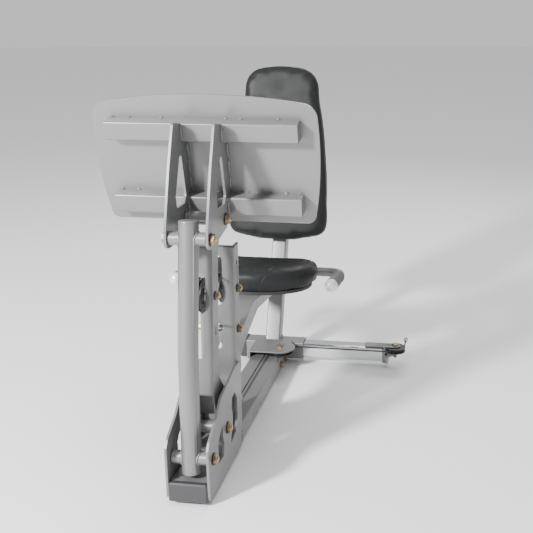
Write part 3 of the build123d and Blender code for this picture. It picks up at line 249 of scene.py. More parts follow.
# ---- materials ---------------------------------------------------------------------------
def surface(name, colour, rough, metal=0.0, spread=0.06, rough_spread=0.06, blotch=5.0,
            grain=900.0, depth=0.05 * MM, pattern="NOISE", centre=(0, 0, 0), ring_axis="X", **sockets):
    """Principled material whose colour and roughness vary over the surface, with a grain in relief."""
    made = bpy.data.materials.new(name)
    made.use_nodes = True
    nodes = made.node_tree.nodes
    link = made.node_tree.links.new
    shader = nodes["Principled BSDF"]
    shader.inputs["Metallic"].default_value = metal
    for socket, value in sockets.items():
        shader.inputs[socket.replace("_", " ")].default_value = value
    where = nodes.new("ShaderNodeTexCoord").outputs["Object"]
    if any(centre):
        shifted = nodes.new("ShaderNodeMapping")
        shifted.inputs["Location"].default_value = [-c for c in centre]
        link(where, shifted.inputs["Vector"])
        where = shifted.outputs["Vector"]

    cloud = nodes.new("ShaderNodeTexNoise")
    cloud.inputs["Scale"].default_value = blotch
    cloud.inputs["Detail"].default_value = 6
    link(where, cloud.inputs["Vector"])
    tones = nodes.new("ShaderNodeValToRGB")
    tones.color_ramp.elements[0].position = 0.3
    tones.color_ramp.elements[1].position = 0.7
    for element, factor in zip(tones.color_ramp.elements, (1 - spread, 1 + spread)):
        element.color = (*[min(1.0, c * factor) for c in colour], 1)
    link(cloud.outputs["Fac"], tones.inputs["Fac"])
    link(tones.outputs["Color"], shader.inputs["Base Color"])

    smudge = nodes.new("ShaderNodeTexNoise")
    smudge.inputs["Scale"].default_value = blotch * 4
    smudge.inputs["Detail"].default_value = 8
    link(where, smudge.inputs["Vector"])
    gloss = nodes.new("ShaderNodeMapRange")
    gloss.inputs["From Min"].default_value = 0.3
    gloss.inputs["From Max"].default_value = 0.7
    gloss.inputs["To Min"].default_value = rough - rough_spread
    gloss.inputs["To Max"].default_value = rough + rough_spread
    link(smudge.outputs["Fac"], gloss.inputs["Value"])
    link(gloss.outputs["Result"], shader.inputs["Roughness"])

    relief = nodes.new("ShaderNodeBump")
    relief.inputs["Distance"].default_value = depth
    relief.inputs["Strength"].default_value = 1.0
    if pattern == "LEATHER":
        cells = nodes.new("ShaderNodeTexVoronoi")
        cells.feature = "DISTANCE_TO_EDGE"
        cells.inputs["Scale"].default_value = grain
        bend = nodes.new("ShaderNodeTexNoise")
        bend.inputs["Scale"].default_value = grain / 3
        link(where, bend.inputs["Vector"])
        mixed = nodes.new("ShaderNodeMix")
        mixed.data_type = "VECTOR"
        mixed.inputs["Factor"].default_value = 0.0015
        link(where, mixed.inputs[4])
        link(bend.outputs["Color"], mixed.inputs[5])
        link(mixed.outputs[1], cells.inputs["Vector"])
        height = cells.outputs["Distance"]
    elif pattern == "RINGS":
        rings = nodes.new("ShaderNodeTexWave")
        rings.wave_type = "RINGS"
        rings.rings_direction = ring_axis
        rings.inputs["Scale"].default_value = grain
        rings.inputs["Distortion"].default_value = 0.4
        link(where, rings.inputs["Vector"])
        height = rings.outputs["Fac"]
    else:
        peel = nodes.new("ShaderNodeTexNoise")
        peel.inputs["Scale"].default_value = grain
        peel.inputs["Detail"].default_value = 3
        link(where, peel.inputs["Vector"])
        height = peel.outputs["Fac"]
    link(height, relief.inputs["Height"])
    link(relief.outputs["Normal"], shader.inputs["Normal"])
    return made


MATERIALS = {
    "frame_paint": surface("silver_powder_coat", (0.195, 0.196, 0.198), 0.36, metal=0.35, spread=0.07,
                           grain=1100, depth=0.05 * MM, blotch=4, Coat_Weight=0.2, Coat_Roughness=0.2),
    "dark_plastic": surface("dark_moulded_plastic", (0.04, 0.04, 0.043), 0.5, grain=1500,
                            depth=0.05 * MM),
    "rubber": surface("black_rubber", (0.02, 0.02, 0.021), 0.75, grain=1000, depth=0.12 * MM),
    "grip_rubber": surface("grip_rubber", (0.105, 0.105, 0.108), 0.62, grain=1400, depth=0.08 * MM),
    "upholstery": surface("charcoal_vinyl", (0.0135, 0.014, 0.0145), 0.5, spread=0.12, blotch=7,
                          grain=620, depth=0.1 * MM, pattern="LEATHER", Specular_IOR_Level=0.22),
    "board": surface("black_painted_board", (0.02, 0.02, 0.02), 0.6, grain=260, depth=0.12 * MM),
    "pulley_nylon": surface("black_nylon", (0.016, 0.016, 0.017), 0.4, grain=1300, depth=0.03 * MM),
    "cable_jacket": surface("cable_jacket", (0.012, 0.012, 0.012), 0.28, grain=500, depth=0.04 * MM),
    "zinc_bolt": surface("yellow_zinc", (0.42, 0.32, 0.2), 0.3, metal=1.0, spread=0.3, blotch=90,
                         grain=1500, depth=0.02 * MM),
    "black_washer": surface("black_washer", (0.015, 0.015, 0.015), 0.5, grain=1500, depth=0.03 * MM),
    "bright_steel": surface("zinc_steel", (0.6, 0.6, 0.61), 0.32, metal=1.0, blotch=30, grain=1600,
                            depth=0.02 * MM),
    "connector_chrome": surface("bright_plated_tube", (0.72, 0.73, 0.75), 0.13, metal=1.0, spread=0.03,
                                rough_spread=0.04, grain=220, depth=0.03 * MM),
    "polished_cap": surface("satin_aluminium", (0.8, 0.795, 0.78), 0.34, metal=0.35, spread=0.03,
                            rough_spread=0.05, grain=1800, depth=0.02 * MM),
    "bush_plastic": surface("acetal_bush", (0.03, 0.03, 0.03), 0.4, grain=1300, depth=0.03 * MM),
}


WELD_DISTANCE = 0.01 * MM
SHARP_ANGLE = math.radians(32)
BEVEL_ANGLE = math.radians(35)


def clean_shading_nodes():
    """Node group that welds a CAD mesh and shades it smooth except at its sharp edges."""
    group = bpy.data.node_groups.new("clean_shading", "GeometryNodeTree")
    group.interface.new_socket("Geometry", in_out="INPUT", socket_type="NodeSocketGeometry")
    group.interface.new_socket("Geometry", in_out="OUTPUT", socket_type="NodeSocketGeometry")
    nodes = group.nodes
    first = nodes.new("NodeGroupInput")
    last = nodes.new("NodeGroupOutput")
    drop = nodes.new("GeometryNodeRemoveAttribute")
    drop.inputs["Name"].default_value = "custom_normal"
    weld = nodes.new("GeometryNodeMergeByDistance")
    weld.inputs["Distance"].default_value = WELD_DISTANCE
    faces = nodes.new("GeometryNodeSetShadeSmooth")
    edges = nodes.new("GeometryNodeSetShadeSmooth")
    edges.domain = "EDGE"
    edges.inputs["Shade Smooth"].default_value = False
    angle = nodes.new("GeometryNodeInputMeshEdgeAngle")
    sharp = nodes.new("FunctionNodeCompare")
    sharp.inputs[1].default_value = SHARP_ANGLE
    link = group.links.new
    link(first.outputs[0], drop.inputs["Geometry"])
    link(drop.outputs["Geometry"], weld.inputs["Geometry"])
    link(weld.outputs["Geometry"], faces.inputs["Geometry"])
    link(faces.outputs["Geometry"], edges.inputs["Geometry"])
    link(angle.outputs["Unsigned Angle"], sharp.inputs[0])
    link(sharp.outputs["Result"], edges.inputs["Selection"])
    link(edges.outputs["Geometry"], last.inputs[0])
    return group


EDGE_WIDTH = {"frame_paint": 0.9 * MM, "dark_plastic": 1.5 * MM, "rubber": 1.5 * MM, "board": 1 * MM}


def finish_cad_nodes():
    """Material and clean shading on every CAD node, and softened edges on the painted, dark plastic,
    rubber and board ones.
    """
    shading = clean_shading_nodes()
    for part in frame["record"]["subparts"]:
        shown = NODES[part["node"]]
        for slot in shown.material_slots:
            slot.material = MATERIALS[part["material_slot"]]
        clean = shown.modifiers.new("clean_shading", "NODES")
        clean.node_group = shading
        width = EDGE_WIDTH.get(part["material_slot"])
        if width:
            bevel = shown.modifiers.new("soft_edges", "BEVEL")
            bevel.width = width
            bevel.segments = 2
            bevel.limit_method = "ANGLE"
            bevel.angle_limit = BEVEL_ANGLE
            bevel.harden_normals = True


def turned_materials():
    """Each pulley gets turning marks round its own axle."""
    for node in ("tower_pulley", "arm_pulley", "base_pulley", "corner_pulley", "end_pulley"):
        low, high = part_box(node)
        axis = "XYZ"[min(range(3), key=lambda k: (high - low)[k])]
        marks = surface(node + "_nylon", (0.016, 0.016, 0.017), 0.4, grain=160, depth=0.08 * MM,
                        pattern="RINGS", centre=middle(node), ring_axis=axis)
        NODES[node].material_slots[0].material = marks


# ---- upholstery --------------------------------------------------------------------------
VOXEL = 5 * MM
START_SMALLER = 5 * MM
MOST_SWELL = 9 * MM
FLAT_BACK = 3 * MM
BOARD_GAP = 0.3 * MM
CLOTH_FRAMES = 20


def evaluated_mesh(made):
    """New mesh with an object's modifiers applied."""
    graph = bpy.context.evaluated_depsgraph_get()
    return bpy.data.meshes.new_from_object(made.evaluated_get(graph))


def inflate(made):
    """Blows a closed shape up with cloth pressure and limits how far each point moves."""
    start = points_of(made)
    cloth = made.modifiers.new("cloth", "CLOTH")
    cloth.settings.quality = 6
    cloth.settings.use_pressure = True
    cloth.settings.uniform_pressure_force = 4
    cloth.settings.tension_stiffness = 25
    cloth.settings.bending_stiffness = 6
    cloth.settings.effector_weights.gravity = 0
    cloth.point_cache.frame_start = 1
    cloth.point_cache.frame_end = CLOTH_FRAMES
    for step in range(1, CLOTH_FRAMES + 1):
        bpy.context.scene.frame_set(step)
    swollen = evaluated_mesh(made)
    made.modifiers.clear()
    moved = np.array([v.co for v in swollen.vertices], float) - start
    length = np.linalg.norm(moved, axis=1, keepdims=True)
    moved *= np.minimum(1, MOST_SWELL / np.maximum(length, 1e-9))
    put_points(made, start + moved)
    bpy.context.scene.frame_set(1)


def cushion(name, node, axes):
    """Upholstered pad made from its CAD solid: remeshed, inflated and flat against its board."""
    made = bpy.data.objects.new(name, NODES[node].data.copy())
    bpy.context.scene.collection.objects.link(made)
    turn = np.array([tuple(a) for a in axes])
    low, high = local_box(node, axes)
    size = high - low
    points = corners(node) @ turn.T
    fixed = (low + high) / 2
    shrink = 1 - 2 * START_SMALLER / size
    shrink[2] = 1 - START_SMALLER / size[2]
    fixed[2] = low[2]
    points = (points - fixed) * shrink + fixed
    put_points(made, points @ turn)
    made.data.materials.clear()
    remesh = made.modifiers.new("even_faces", "REMESH")
    remesh.mode = "VOXEL"
    remesh.voxel_size = VOXEL
    even = evaluated_mesh(made)
    made.modifiers.clear()
    made.data = even
    inflate(made)
    points = points_of(made) @ turn.T
    points[:, 2] = np.maximum(points[:, 2], low[2] + BOARD_GAP)
    near = points[:, 2] < low[2] + FLAT_BACK
    points[near, 2] = low[2] + BOARD_GAP
    points[:, :2] = np.clip(points[:, :2], low[:2], high[:2])
    put_points(made, points @ turn)
    relax = made.modifiers.new("relax", "SMOOTH")
    relax.factor = 0.5
    relax.iterations = 14
    fine = made.modifiers.new("fine", "SUBSURF")
    fine.levels = 1
    fine.render_levels = 1
    smooth = evaluated_mesh(made)
    made.modifiers.clear()
    made.data = smooth
    made.data.name = name
    made.data.shade_smooth()
    made.data.materials.clear()
    made.data.materials.append(MATERIALS["upholstery"])
    return made


GROOVE_DEPTH = 1.8 * MM
GROOVE_REACH = 4.5 * MM
SEAM_STEP = 2 * MM
STITCH_STEP = 5.5 * MM
STITCH_LENGTH = 3.6 * MM
STITCH_RADIUS = 0.45 * MM
STITCH_ASIDE = 4 * MM
STITCH_RISE = 0.5 * MM


def nearest(tree, points):
    """Nearest places on a mesh to some points, with the surface's normals there."""
    found = [tree.find_nearest(point) for point in points]
    return [hit[0] for hit in found], [hit[1] for hit in found]


def sew(made, lines, body):
    """Presses seam grooves into a cushion and lays a row of thread stitches beside each."""
    coordinates = points_of(made)
    normals = np.array([v.normal for v in made.data.vertices], float)
    pressed = np.zeros(len(coordinates))
    plain = surface_tree(made)
    seams = [nearest(plain, evenly(line, SEAM_STEP)) for line in lines]
    for path, _ in seams:
        for point in path:
            gap = np.linalg.norm(coordinates - np.array(point), axis=1)
            pressed = np.maximum(pressed, np.clip(1 - gap / GROOVE_REACH, 0, 1) ** 1.5)
    put_points(made, coordinates - normals * (pressed * GROOVE_DEPTH)[:, None])
    made.data.update()

    grooved = surface_tree(made)
    stitches = []
    for path, outward in seams:
        walked = 0.0
        for k in range(1, len(path) - 1):
            walked += (path[k] - path[k - 1]).length
            if walked < STITCH_STEP:
                continue
            walked = 0.0
            ahead = (path[k + 1] - path[k - 1]).normalized()
            beside = outward[k].cross(ahead).normalized() * STITCH_ASIDE
            spot, up = grooved.find_nearest(path[k] + beside)[:2]
            half = ahead * STITCH_LENGTH / 2
            rise = up * STITCH_RISE
            line = [spot - half, spot - half * 0.6 + rise, spot + half * 0.6 + rise, spot + half]
            radii = [STITCH_RADIUS * r for r in (0.5, 1, 1, 0.5)]
            stitches.append(tube(line, radii, sides=6))
    yarn = surface("thread", (0.05, 0.05, 0.052), 0.6, grain=2500, depth=0.05 * MM)
    piece(made.name + "_stitches", joined(stitches), yarn, body)


# Half of the seat's seam: across, back from the middle, and up, as shares of the pad's size
SEAT_SEAM = [
    (0.105, -0.5, 0.05), (0.11, -0.5, 0.5), (0.15, -0.49, 0.85), (0.19, -0.25, 1.0), (0.28, -0.08, 1.0),
    (0.36, 0.06, 1.0), (0.415, 0.2, 1.0), (0.43, 0.36, 1.0), (0.41, 0.46, 1.0),
]


def smooth_line(points, rounds=3):
    """Corner-cut polyline through the same ends."""
    for _ in range(rounds):
        cut = [points[0]]
        for first, last in zip(points, points[1:]):
            cut += [first.lerp(last, 0.25), first.lerp(last, 0.75)]
        points = cut + [points[-1]]
    return points


def make_seat():
    """Seat cushion with its two curved seams."""
    made = cushion("seat_cushion", "seat_pad", SEAT_AXES)
    low, high = local_box("seat_pad", SEAT_AXES)
    size = high - low
    lines = []
    for side in (-1, 1):
        raw = [
            place(
                SEAT_AXES,
                side * u * size[0],
                (low[1] + high[1]) / 2 + v * size[1],
                low[2] + w * size[2],
            )
            for u, v, w in SEAT_SEAM
        ]
        lines.append(smooth_line(raw))
    sew(made, lines, "base")
    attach(made, "base")
    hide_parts("seat_pad")


def make_back():
    """Back rest cushion, which has no seams."""
    made = cushion("back_cushion", "back_pad", BACK_AXES)
    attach(made, "base")
    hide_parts("back_pad")


# ---- fasteners ---------------------------------------------------------------------------
HEX_RATIO = 2 / math.sqrt(3)
CHAMFER = math.tan(math.radians(28))
THREAD_PITCH = 1.5 * MM
HEX_STEPS = 72
FACE_SHARE = 0.93
DISH_SHARES = (0.82, 0.78)
DISH_DEPTH = 0.25 * MM
TOUCHING = 0.01 * MM
FASTENER_NODES = (
    "frame_bolts", "frame_nuts", "plate_bolts", "plate_nuts", "arm_axle_bolt", "arm_axle_nut",
)


def hexagon(origin, axis, flat, key, height, both_ends):
    """Hexagon with its corners cut by a cone at the outer end, and at the inner end too on a nut."""
    second = axis.cross(flat)
    inner = key * math.cos(math.pi / 6)
    circle = inner * FACE_SHARE
    rows = [[], [], [], [], [], []]
    for i in range(HEX_STEPS):
        angle = 2 * math.pi * i / HEX_STEPS
        wedge = (angle % (math.pi / 3)) - math.pi / 6
        radius = inner / math.cos(wedge)
        drop = (radius - circle) * CHAMFER
        bottom = drop if both_ends else 0.0
        ray = flat * math.cos(angle) + second * math.sin(angle)
        inset = circle if both_ends else radius
        heights = (0.0, bottom, height - drop, height)
        radii = (inset, radius, radius, circle)
        for row, (along, reach) in zip(rows, zip(heights, radii)):
            row.append(origin + axis * along + ray * reach)
        rows[4].append(origin + axis * height + ray * circle * DISH_SHARES[0])
        rows[5].append(origin + axis * (height - DISH_DEPTH) + ray * circle * DISH_SHARES[1])
    return skin(rows)


def thread(origin, axis, radius, length):
    """Threaded end of a bolt, with a chamfered tip."""
    profile = []
    turns = max(1, int(length / THREAD_PITCH))
    for k in range(turns):
        profile.append((k * THREAD_PITCH, radius * 0.88))
        profile.append(((k + 0.5) * THREAD_PITCH, radius))
    profile.append((length - 0.6 * MM, radius * 0.95))
    profile.append((length, radius * 0.8))
    return lathe(profile, origin, axis, sides=32)


def fastener(points):
    """Detailed bolt or nut in place of one plain CAD solid."""
    low, high = points.min(axis=0), points.max(axis=0)
    size = high - low

    def unlike_hexagon(turn):
        pair = size[turn[0]], size[turn[1]]
        return abs(max(pair) / min(pair) - HEX_RATIO)

    turns = [(0, 1, 2), (1, 2, 0), (2, 0, 1)]
    across_one, across_two, along = min(turns, key=unlike_hexagon)
    wide = across_one if size[across_one] > size[across_two] else across_two
    key = size[wide] / 2
    centre = (low + high) / 2
    other = [k for k in range(3) if k != along]
    reach = np.hypot(points[:, other[0]] - centre[other[0]], points[:, other[1]] - centre[other[1]])
    hex_span = points[reach > 0.97 * key, along]
    start, end = hex_span.min(), hex_span.max()
    axis = Vector([float(k == along) for k in range(3)])
    flat = Vector([float(k == wide) for k in range(3)])
    base = Vector(centre)
    plain_low, plain_high = start - low[along], high[along] - end
    height = end - start
    if plain_high > plain_low:
        axis = -axis
        base[along] = end
    else:
        base[along] = start
    shank_length = max(plain_low, plain_high)
    shapes = [hexagon(base, axis, flat, key, height, shank_length < TOUCHING)]
    if shank_length > TOUCHING:
        tip = low[along] if plain_low > plain_high else high[along]
        shank = reach[np.abs(points[:, along] - tip) < TOUCHING].max()
        shapes.append(thread(base, -axis, shank, abs(tip - base[along])))
    return joined(shapes)


def make_fasteners():
    """Detailed bolts and nuts in place of the plain ones."""
    for node in FASTENER_NODES:
        body = NODES[node]["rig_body"]
        shapes = joined([fastener(points) for points in islands(node)])
        made = piece(node + "_detailed", shapes, MATERIALS["zinc_bolt"], body, sharp=30)
        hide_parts(node)


# ---- welds -------------------------------------------------------------------------------
WELD_STEP = 1.1 * MM
WELD_RIPPLE = 4.6 * MM
STITCH_WELD = 42 * MM
WELD_PROUD = 0.5 * MM
TACK_RADIUS = 3.4 * MM
BRACKET_BEAD = 4.0 * MM
BRACKET_PROUD = 1.4 * MM
PIVOT_BEAD = 2.2 * MM
UPRIGHT_BEAD = 2.6 * MM
SLEEVE_BEAD = 2.4 * MM
TOWER_BEAD = 2.2 * MM
GUSSET_BEAD = 2.6 * MM
RING_STEPS = 48
TACKS = {
    "upper_channel": (0.02, 0.11, 0.28, 0.62, 0.7, 0.89),
    "lower_channel": (0.02, 0.11, 0.65, 0.7, 0.91, 0.98),
}
dice = random.Random(7)


def weld(line, radius):
    """Lumpy bead along a line, like one laid by hand and then painted over."""
    path = evenly(line, WELD_STEP)
    shift = dice.uniform(0, 6)
    radii = []
    for k in range(len(path)):
        walked = k * WELD_STEP
        ripple = 0.16 * math.sin(2 * math.pi * walked / WELD_RIPPLE + shift)
        lump = 1 + ripple + dice.uniform(-0.1, 0.1)
        end = min(k, len(path) - 1 - k) * WELD_STEP
        radii.append(radius * lump * min(1, 0.35 + end / (2.5 * radius)))
    return tube(path, radii, sides=10)


def ring_line(centre, radius, axis):
    """Closed circle as a line of points."""
    first, second = across(axis)
    turns = [2 * math.pi * k / RING_STEPS for k in range(RING_STEPS + 1)]
    return [centre + (first * math.cos(a) + second * math.sin(a)) * radius for a in turns]


def plate_welds():
    """Beads between the foot plate, its channels and its brackets."""
    front = local_box("foot_plate", PLATE_AXES)[1][2]
    beads = []
    spans = {}
    for channel in ("upper_channel", "lower_channel"):
        low, high = local_box(channel, PLATE_AXES)
        spans[channel] = (low, high)
        for share in TACKS[channel]:
            centre = low[0] + share * (high[0] - low[0])
            up, out = high[1] + 1 * MM, front + 1.2 * MM
            ends = [place(PLATE_AXES, centre + d * MM, up, out) for d in (-5, 5)]
            beads.append(weld(ends, TACK_RADIUS))
    upper, lower = spans["upper_channel"], spans["lower_channel"]
    for node in ("left_bracket", "right_bracket"):
        box_low, box_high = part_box(node)
        for side, face in ((-1, box_low.x), (1, box_high.x)):
            for low_height, high_height, depth in (
                (lower[1][1] + 6 * MM, upper[0][1] - 6 * MM, front),
                (upper[0][1] + 2 * MM, upper[1][1] - 3 * MM, upper[1][2]),
                (lower[0][1] + 2 * MM, lower[1][1] - 2 * MM, lower[1][2]),
            ):
                span = high_height - low_height
                count = max(1, round(span / STITCH_WELD))
                across_at, out = face + side * BRACKET_PROUD, depth + BRACKET_PROUD
                for k in range(count):
                    heights = [low_height + (k + d) / count * span for d in (0.04, 0.86)]
                    ends = [place(PLATE_AXES, across_at, h, out) for h in heights]
                    beads.append(weld(ends, BRACKET_BEAD))
    piece("plate_welds", joined(beads), MATERIALS["frame_paint"], "foot_plate_unit")


def arm_welds():
    """Rings where the pivot tubes pass through the arms."""
    for name, body, tubes, skin_node in (
        ("front_arm_welds", "front_arm", "front_arm_cross_tubes", "front_arm_tube"),
        ("rear_arm_welds", "rear_arm", "rear_arm_cross_tubes", "rear_arm_channel"),
    ):
        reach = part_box(skin_node)[1].x
        beads = []
        for points in islands(tubes):
            low, high = points.min(axis=0), points.max(axis=0)
            radius = (high[1] - low[1]) / 2
            centre = Vector((0, (low[1] + high[1]) / 2, (low[2] + high[2]) / 2))
            for side in (-1, 1):
                line = ring_line(centre, radius + 0.3 * MM, X)
                for point in line:
                    bulge = reach
                    if name == "front_arm_welds":
                        bulge = math.sqrt(max(reach**2 - (point.y - centre.y) ** 2, 0))
                    point.x = side * (bulge + WELD_PROUD)
                beads.append(weld(line, PIVOT_BEAD))
        piece(name, joined(beads), MATERIALS["frame_paint"], body)


def frame_welds():
    """Beads at the foot of the upright and the tower, at the sleeve and along the side plates."""
    beads = []
    sleeve_low, sleeve_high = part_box("rear_sleeve")
    beam_low, beam_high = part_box("base_beam")
    beam_top = beam_high.z - 4 * MM

    upright = corners("upright")
    top = sleeve_high.z + WELD_PROUD
    foot = upright[upright[:, 2] < top]
    low, high = foot.min(axis=0), foot.max(axis=0)
    square = [(low[0], low[1]), (high[0], low[1]), (high[0], high[1]), (low[0], high[1])]
    beads.append(weld([Vector((x, y, top)) for x, y in square + square[:1]], UPRIGHT_BEAD))

    for x in (beam_low.x, beam_high.x):
        side = math.copysign(WELD_PROUD, x)
        y = sleeve_low.y - WELD_PROUD
        ends = [Vector((x + side, y, z)) for z in (sleeve_low.z + 3 * MM, beam_top)]
        beads.append(weld(ends, SLEEVE_BEAD))

    tower_low, tower_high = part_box("tower")
    for x in (tower_low.x, tower_high.x):
        inset = math.copysign(5 * MM, x)
        z = beam_high.z + WELD_PROUD
        ends = [Vector((x - inset, y, z)) for y in (tower_low.y + 8 * MM, tower_high.y)]
        beads.append(weld(ends, TOWER_BEAD))

    for node in ("left_gusset", "right_gusset"):
        gusset_low, gusset_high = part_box(node)
        x = gusset_low.x + WELD_PROUD if node == "left_gusset" else gusset_high.x - WELD_PROUD
        y = gusset_high.y + WELD_PROUD
        ends = [Vector((x, y, z)) for z in (gusset_low.z + 4 * MM, beam_top)]
        beads.append(weld(ends, GUSSET_BEAD))
    piece("frame_welds", joined(beads), MATERIALS["frame_paint"], "base")


# ---- grips, tread and cable --------------------------------------------------------------
KNURLS = 22
KNURL_DEPTH = 0.7 * MM
COLLAR = 7 * MM
GRIP_END = 2 * MM
GRIP_ROW = 1.1 * MM


def make_grips():
    """Rubber grips with a diamond knurl between two plain collars."""
    shapes = []
    for points in islands("handle_grips"):
        centre = points.mean(axis=0)
        axis = Vector(np.linalg.svd(points - centre)[2][0]).normalized()
        along = (points - centre) @ np.array(axis)
        length = along.max() - along.min()
        away = (points - centre) - np.outer(along, np.array(axis))
        radius = np.linalg.norm(away, axis=1).max()
        start = Vector(centre) + axis * float(along.min())
        pitch = 2 * math.pi * radius / KNURLS

        def knurl(distance, angle):
            if not COLLAR < distance < length - COLLAR:
                return 0.0
            lengthwise = math.pi * distance / pitch
            around = KNURLS * angle / 2
            relief = abs(math.sin(around + lengthwise)) * abs(math.sin(around - lengthwise))
            return -KNURL_DEPTH * (1 - relief**0.5)

        profile = [(0, radius - 1.2 * MM), (0.5 * MM, radius - 0.3 * MM), (1.5 * MM, radius)]
        even = length - 2 * GRIP_END
        rows = int(even / GRIP_ROW)
        profile += [(GRIP_END + k * even / rows, radius) for k in range(rows + 1)]
        profile += [(length - 0.5 * MM, radius - 0.3 * MM), (length, radius - 1.2 * MM)]
        shapes.append(lathe(profile, start, axis, sides=6 * KNURLS, wobble=knurl))
    rubber = MATERIALS["grip_rubber"]
    made = piece("knurled_grips", joined(shapes), rubber, "base", sharp=50)
    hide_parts("handle_grips")


TREAD_PITCH = 23 * MM
TREAD_MARGIN = 13 * MM
TREAD_HALF = 8 * MM
TREAD_RADIUS = 2 * MM
TREAD_HEIGHT = 1.6 * MM
TREAD_SIDES = 16
PROBE_START = 50 * MM


def make_tread_bars():
    """Raised bars in a checker pattern on the user's side of the foot plate."""
    low, high = local_box("foot_plate_tread", PLATE_AXES)
    tree = surface_tree(NODES["foot_plate_tread"])
    face = low[2]

    def inside(u, v):
        return tree.ray_cast(place(PLATE_AXES, u, v, face - PROBE_START), PLATE_OUT)[0] is not None

    shapes = []
    columns = int((high[0] - low[0]) / TREAD_PITCH)
    rows = int((high[1] - low[1]) / TREAD_PITCH)
    for i in range(-columns // 2, columns // 2 + 1):
        for j in range(rows + 1):
            u = i * TREAD_PITCH
            v = low[1] + (j + 0.5) * TREAD_PITCH
            around = [(u + a * TREAD_MARGIN, v + b * TREAD_MARGIN) for a in (-1, 1) for b in (-1, 1)]
            if not all(inside(*spot) for spot in around):
                continue
            slant = math.pi / 4 if (i + j) % 2 else -math.pi / 4
            run = PLATE_AXES[0] * math.cos(slant) + PLATE_AXES[1] * math.sin(slant)
            wide = PLATE_OUT.cross(run).normalized()
            centre = place(PLATE_AXES, u, v, face)
            rings = []
            for level, scale in ((0.15 * MM, 1.0), (-TREAD_HEIGHT * 0.6, 0.9), (-TREAD_HEIGHT, 0.6)):
                ring = []
                radius = TREAD_RADIUS * scale
                for k in range(TREAD_SIDES):
                    angle = 2 * math.pi * k / TREAD_SIDES
                    end = math.copysign(TREAD_HALF - TREAD_RADIUS, math.cos(angle))
                    reach = run * (end + radius * math.cos(angle))
                    ring.append(centre + reach + wide * radius * math.sin(angle) + PLATE_OUT * level)
                rings.append(ring)
            shapes.append(skin(rings))
    piece("tread_bars", joined(shapes), MATERIALS["rubber"], "foot_plate_unit", sharp=50)


CABLE_STEP = 6 * MM
CABLE_WRAP_STEPS = 40
PULLEY_FLANGE = 5 * MM
EYE_LENGTH = 26 * MM


def wheel_at(node):
    """Centre of a pulley in the centre plane, and the radius that its cable runs on."""
    low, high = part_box(node)
    centre = (low + high) / 2
    centre.x = 0
    return centre, (high.z - low.z) / 2 - PULLEY_FLANGE


def tangent(first, first_turn, second, second_turn):
    """Ends of the straight run between two wheels in the centre plane (+ turns anticlockwise)."""
    gap = second - first
    heading = math.atan2(gap.z, gap.y) + math.asin((first_turn - second_turn) / gap.length)
    right = Vector((0, math.sin(heading), -math.cos(heading)))
    return first + first_turn * right, second + second_turn * right


def make_arm_cable():
    """The cable's moving loop: from the tower pulley, round the arm pulley and back to its eye."""
    cable_radius = corners("cable_arm_run")[:, 0].max()
    wheel, wrap = wheel_at("arm_pulley")
    tower, tower_wrap = wheel_at("tower_pulley")
    anchors = []
    for points in islands("frame_bolts"):
        if abs(points[:, 1].mean() - tower.y) < 2 * MM:
            anchors.append(Vector((0, *(points.min(axis=0) + points.max(axis=0))[1:] / 2)))
    anchor = min(anchors, key=lambda point: point.z)
    leave, meet = tangent(tower, tower_wrap, wheel, wrap)
    off, eye = tangent(wheel, wrap, anchor, 0)
    run = (eye - off).length
    mouth = off.lerp(eye, (run - EYE_LENGTH) / run)
    first = math.atan2(meet.z - wheel.z, meet.y - wheel.y)
    last = math.atan2(off.z - wheel.z, off.y - wheel.y) + 2 * math.pi
    steps = range(CABLE_WRAP_STEPS + 1)
    turns = [first + (last - first) * k / CABLE_WRAP_STEPS for k in steps]
    wrapped = [wheel + wrap * Vector((0, math.cos(a), math.sin(a))) for a in turns]
    path = evenly([leave, meet], CABLE_STEP) + wrapped[1:] + evenly([off, mouth], CABLE_STEP)[1:]
    shape = tube(path, [cable_radius] * len(path), sides=16)
    made = piece("arm_cable", shape, MATERIALS["cable_jacket"], None)
    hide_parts("cable_arm_run")
    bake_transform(made)


# ---- stage, lights and camera ------------------------------------------------------------
CAMERA_AT = Vector((0.6674, -1.9578, 1.2003))
CAMERA_YAW = 0.1473
CAMERA_PITCH = -0.2004
CAMERA_LENS = 60.095
CAMERA_SHIFT = (-0.14, -0.14)
WORLD_STRENGTH = 0.72
FLOOR_RADIUS = 30
FLOOR_SIDES = 64
LIGHTS_AIM = (0, 0.45, 0.55)


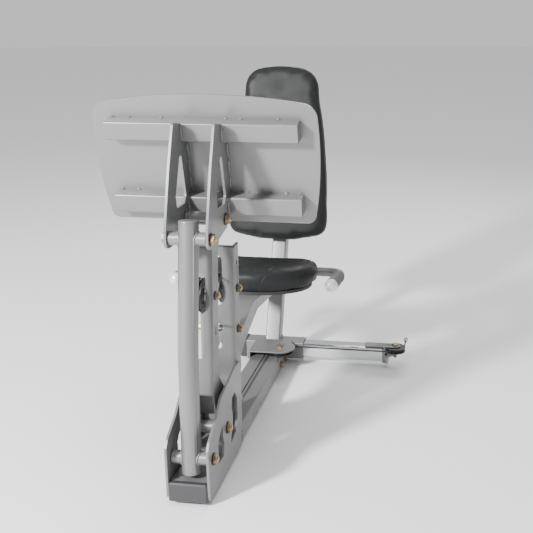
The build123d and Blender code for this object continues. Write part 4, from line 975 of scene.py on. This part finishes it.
def make_camera():
    """Camera at the photo's place."""
    data = bpy.data.cameras.new("camera")
    data.lens = CAMERA_LENS
    data.sensor_width = 36
    data.shift_x, data.shift_y = CAMERA_SHIFT
    camera = bpy.data.objects.new("camera", data)
    bpy.context.scene.collection.objects.link(camera)
    camera.location = CAMERA_AT
    camera.rotation_euler = (math.pi / 2 + CAMERA_PITCH, 0, CAMERA_YAW)
    bpy.context.scene.camera = camera


def area_light(name, at, size, power):
    """Round soft light turned towards the object."""
    data = bpy.data.lights.new(name, "AREA")
    data.shape = "DISK"
    data.size = size
    data.energy = power
    lamp = bpy.data.objects.new(name, data)
    bpy.context.scene.collection.objects.link(lamp)
    lamp.location = at
    lamp.rotation_euler = (Vector(LIGHTS_AIM) - Vector(at)).to_track_quat("-Z", "Y").to_euler()


def make_stage():
    """White surroundings, pale floor and three lights."""
    world = bpy.data.worlds.new("studio")
    bpy.context.scene.world = world
    world.use_nodes = True
    back = world.node_tree.nodes["Background"]
    back.inputs["Color"].default_value = (1, 1, 1, 1)
    back.inputs["Strength"].default_value = WORLD_STRENGTH
    mesh = bpy.data.meshes.new("floor")
    turns = [2 * math.pi * k / FLOOR_SIDES for k in range(FLOOR_SIDES)]
    edge = [(FLOOR_RADIUS * math.cos(a), FLOOR_RADIUS * math.sin(a), 0) for a in turns]
    mesh.from_pydata(edge, [], [tuple(range(FLOOR_SIDES))])
    mesh.materials.append(
        surface("studio_floor", (0.93, 0.93, 0.93), 0.7, spread=0.01, blotch=0.4, grain=60,
                depth=0.02 * MM)
    )
    floor = bpy.data.objects.new("floor", mesh)
    bpy.context.scene.collection.objects.link(floor)
    area_light("key", (-2.1, -2.9, 2.4), 0.55, 460)
    area_light("top", (0.3, -0.4, 3.6), 1.6, 25)
    area_light("rear", (0.6, 3.2, 2.8), 1.8, 45)


make_camera()
make_stage()
finish_cad_nodes()
turned_materials()
make_fasteners()
make_grips()
make_tread_bars()
plate_welds()
arm_welds()
frame_welds()
make_arm_cable()
make_seat()
make_back()
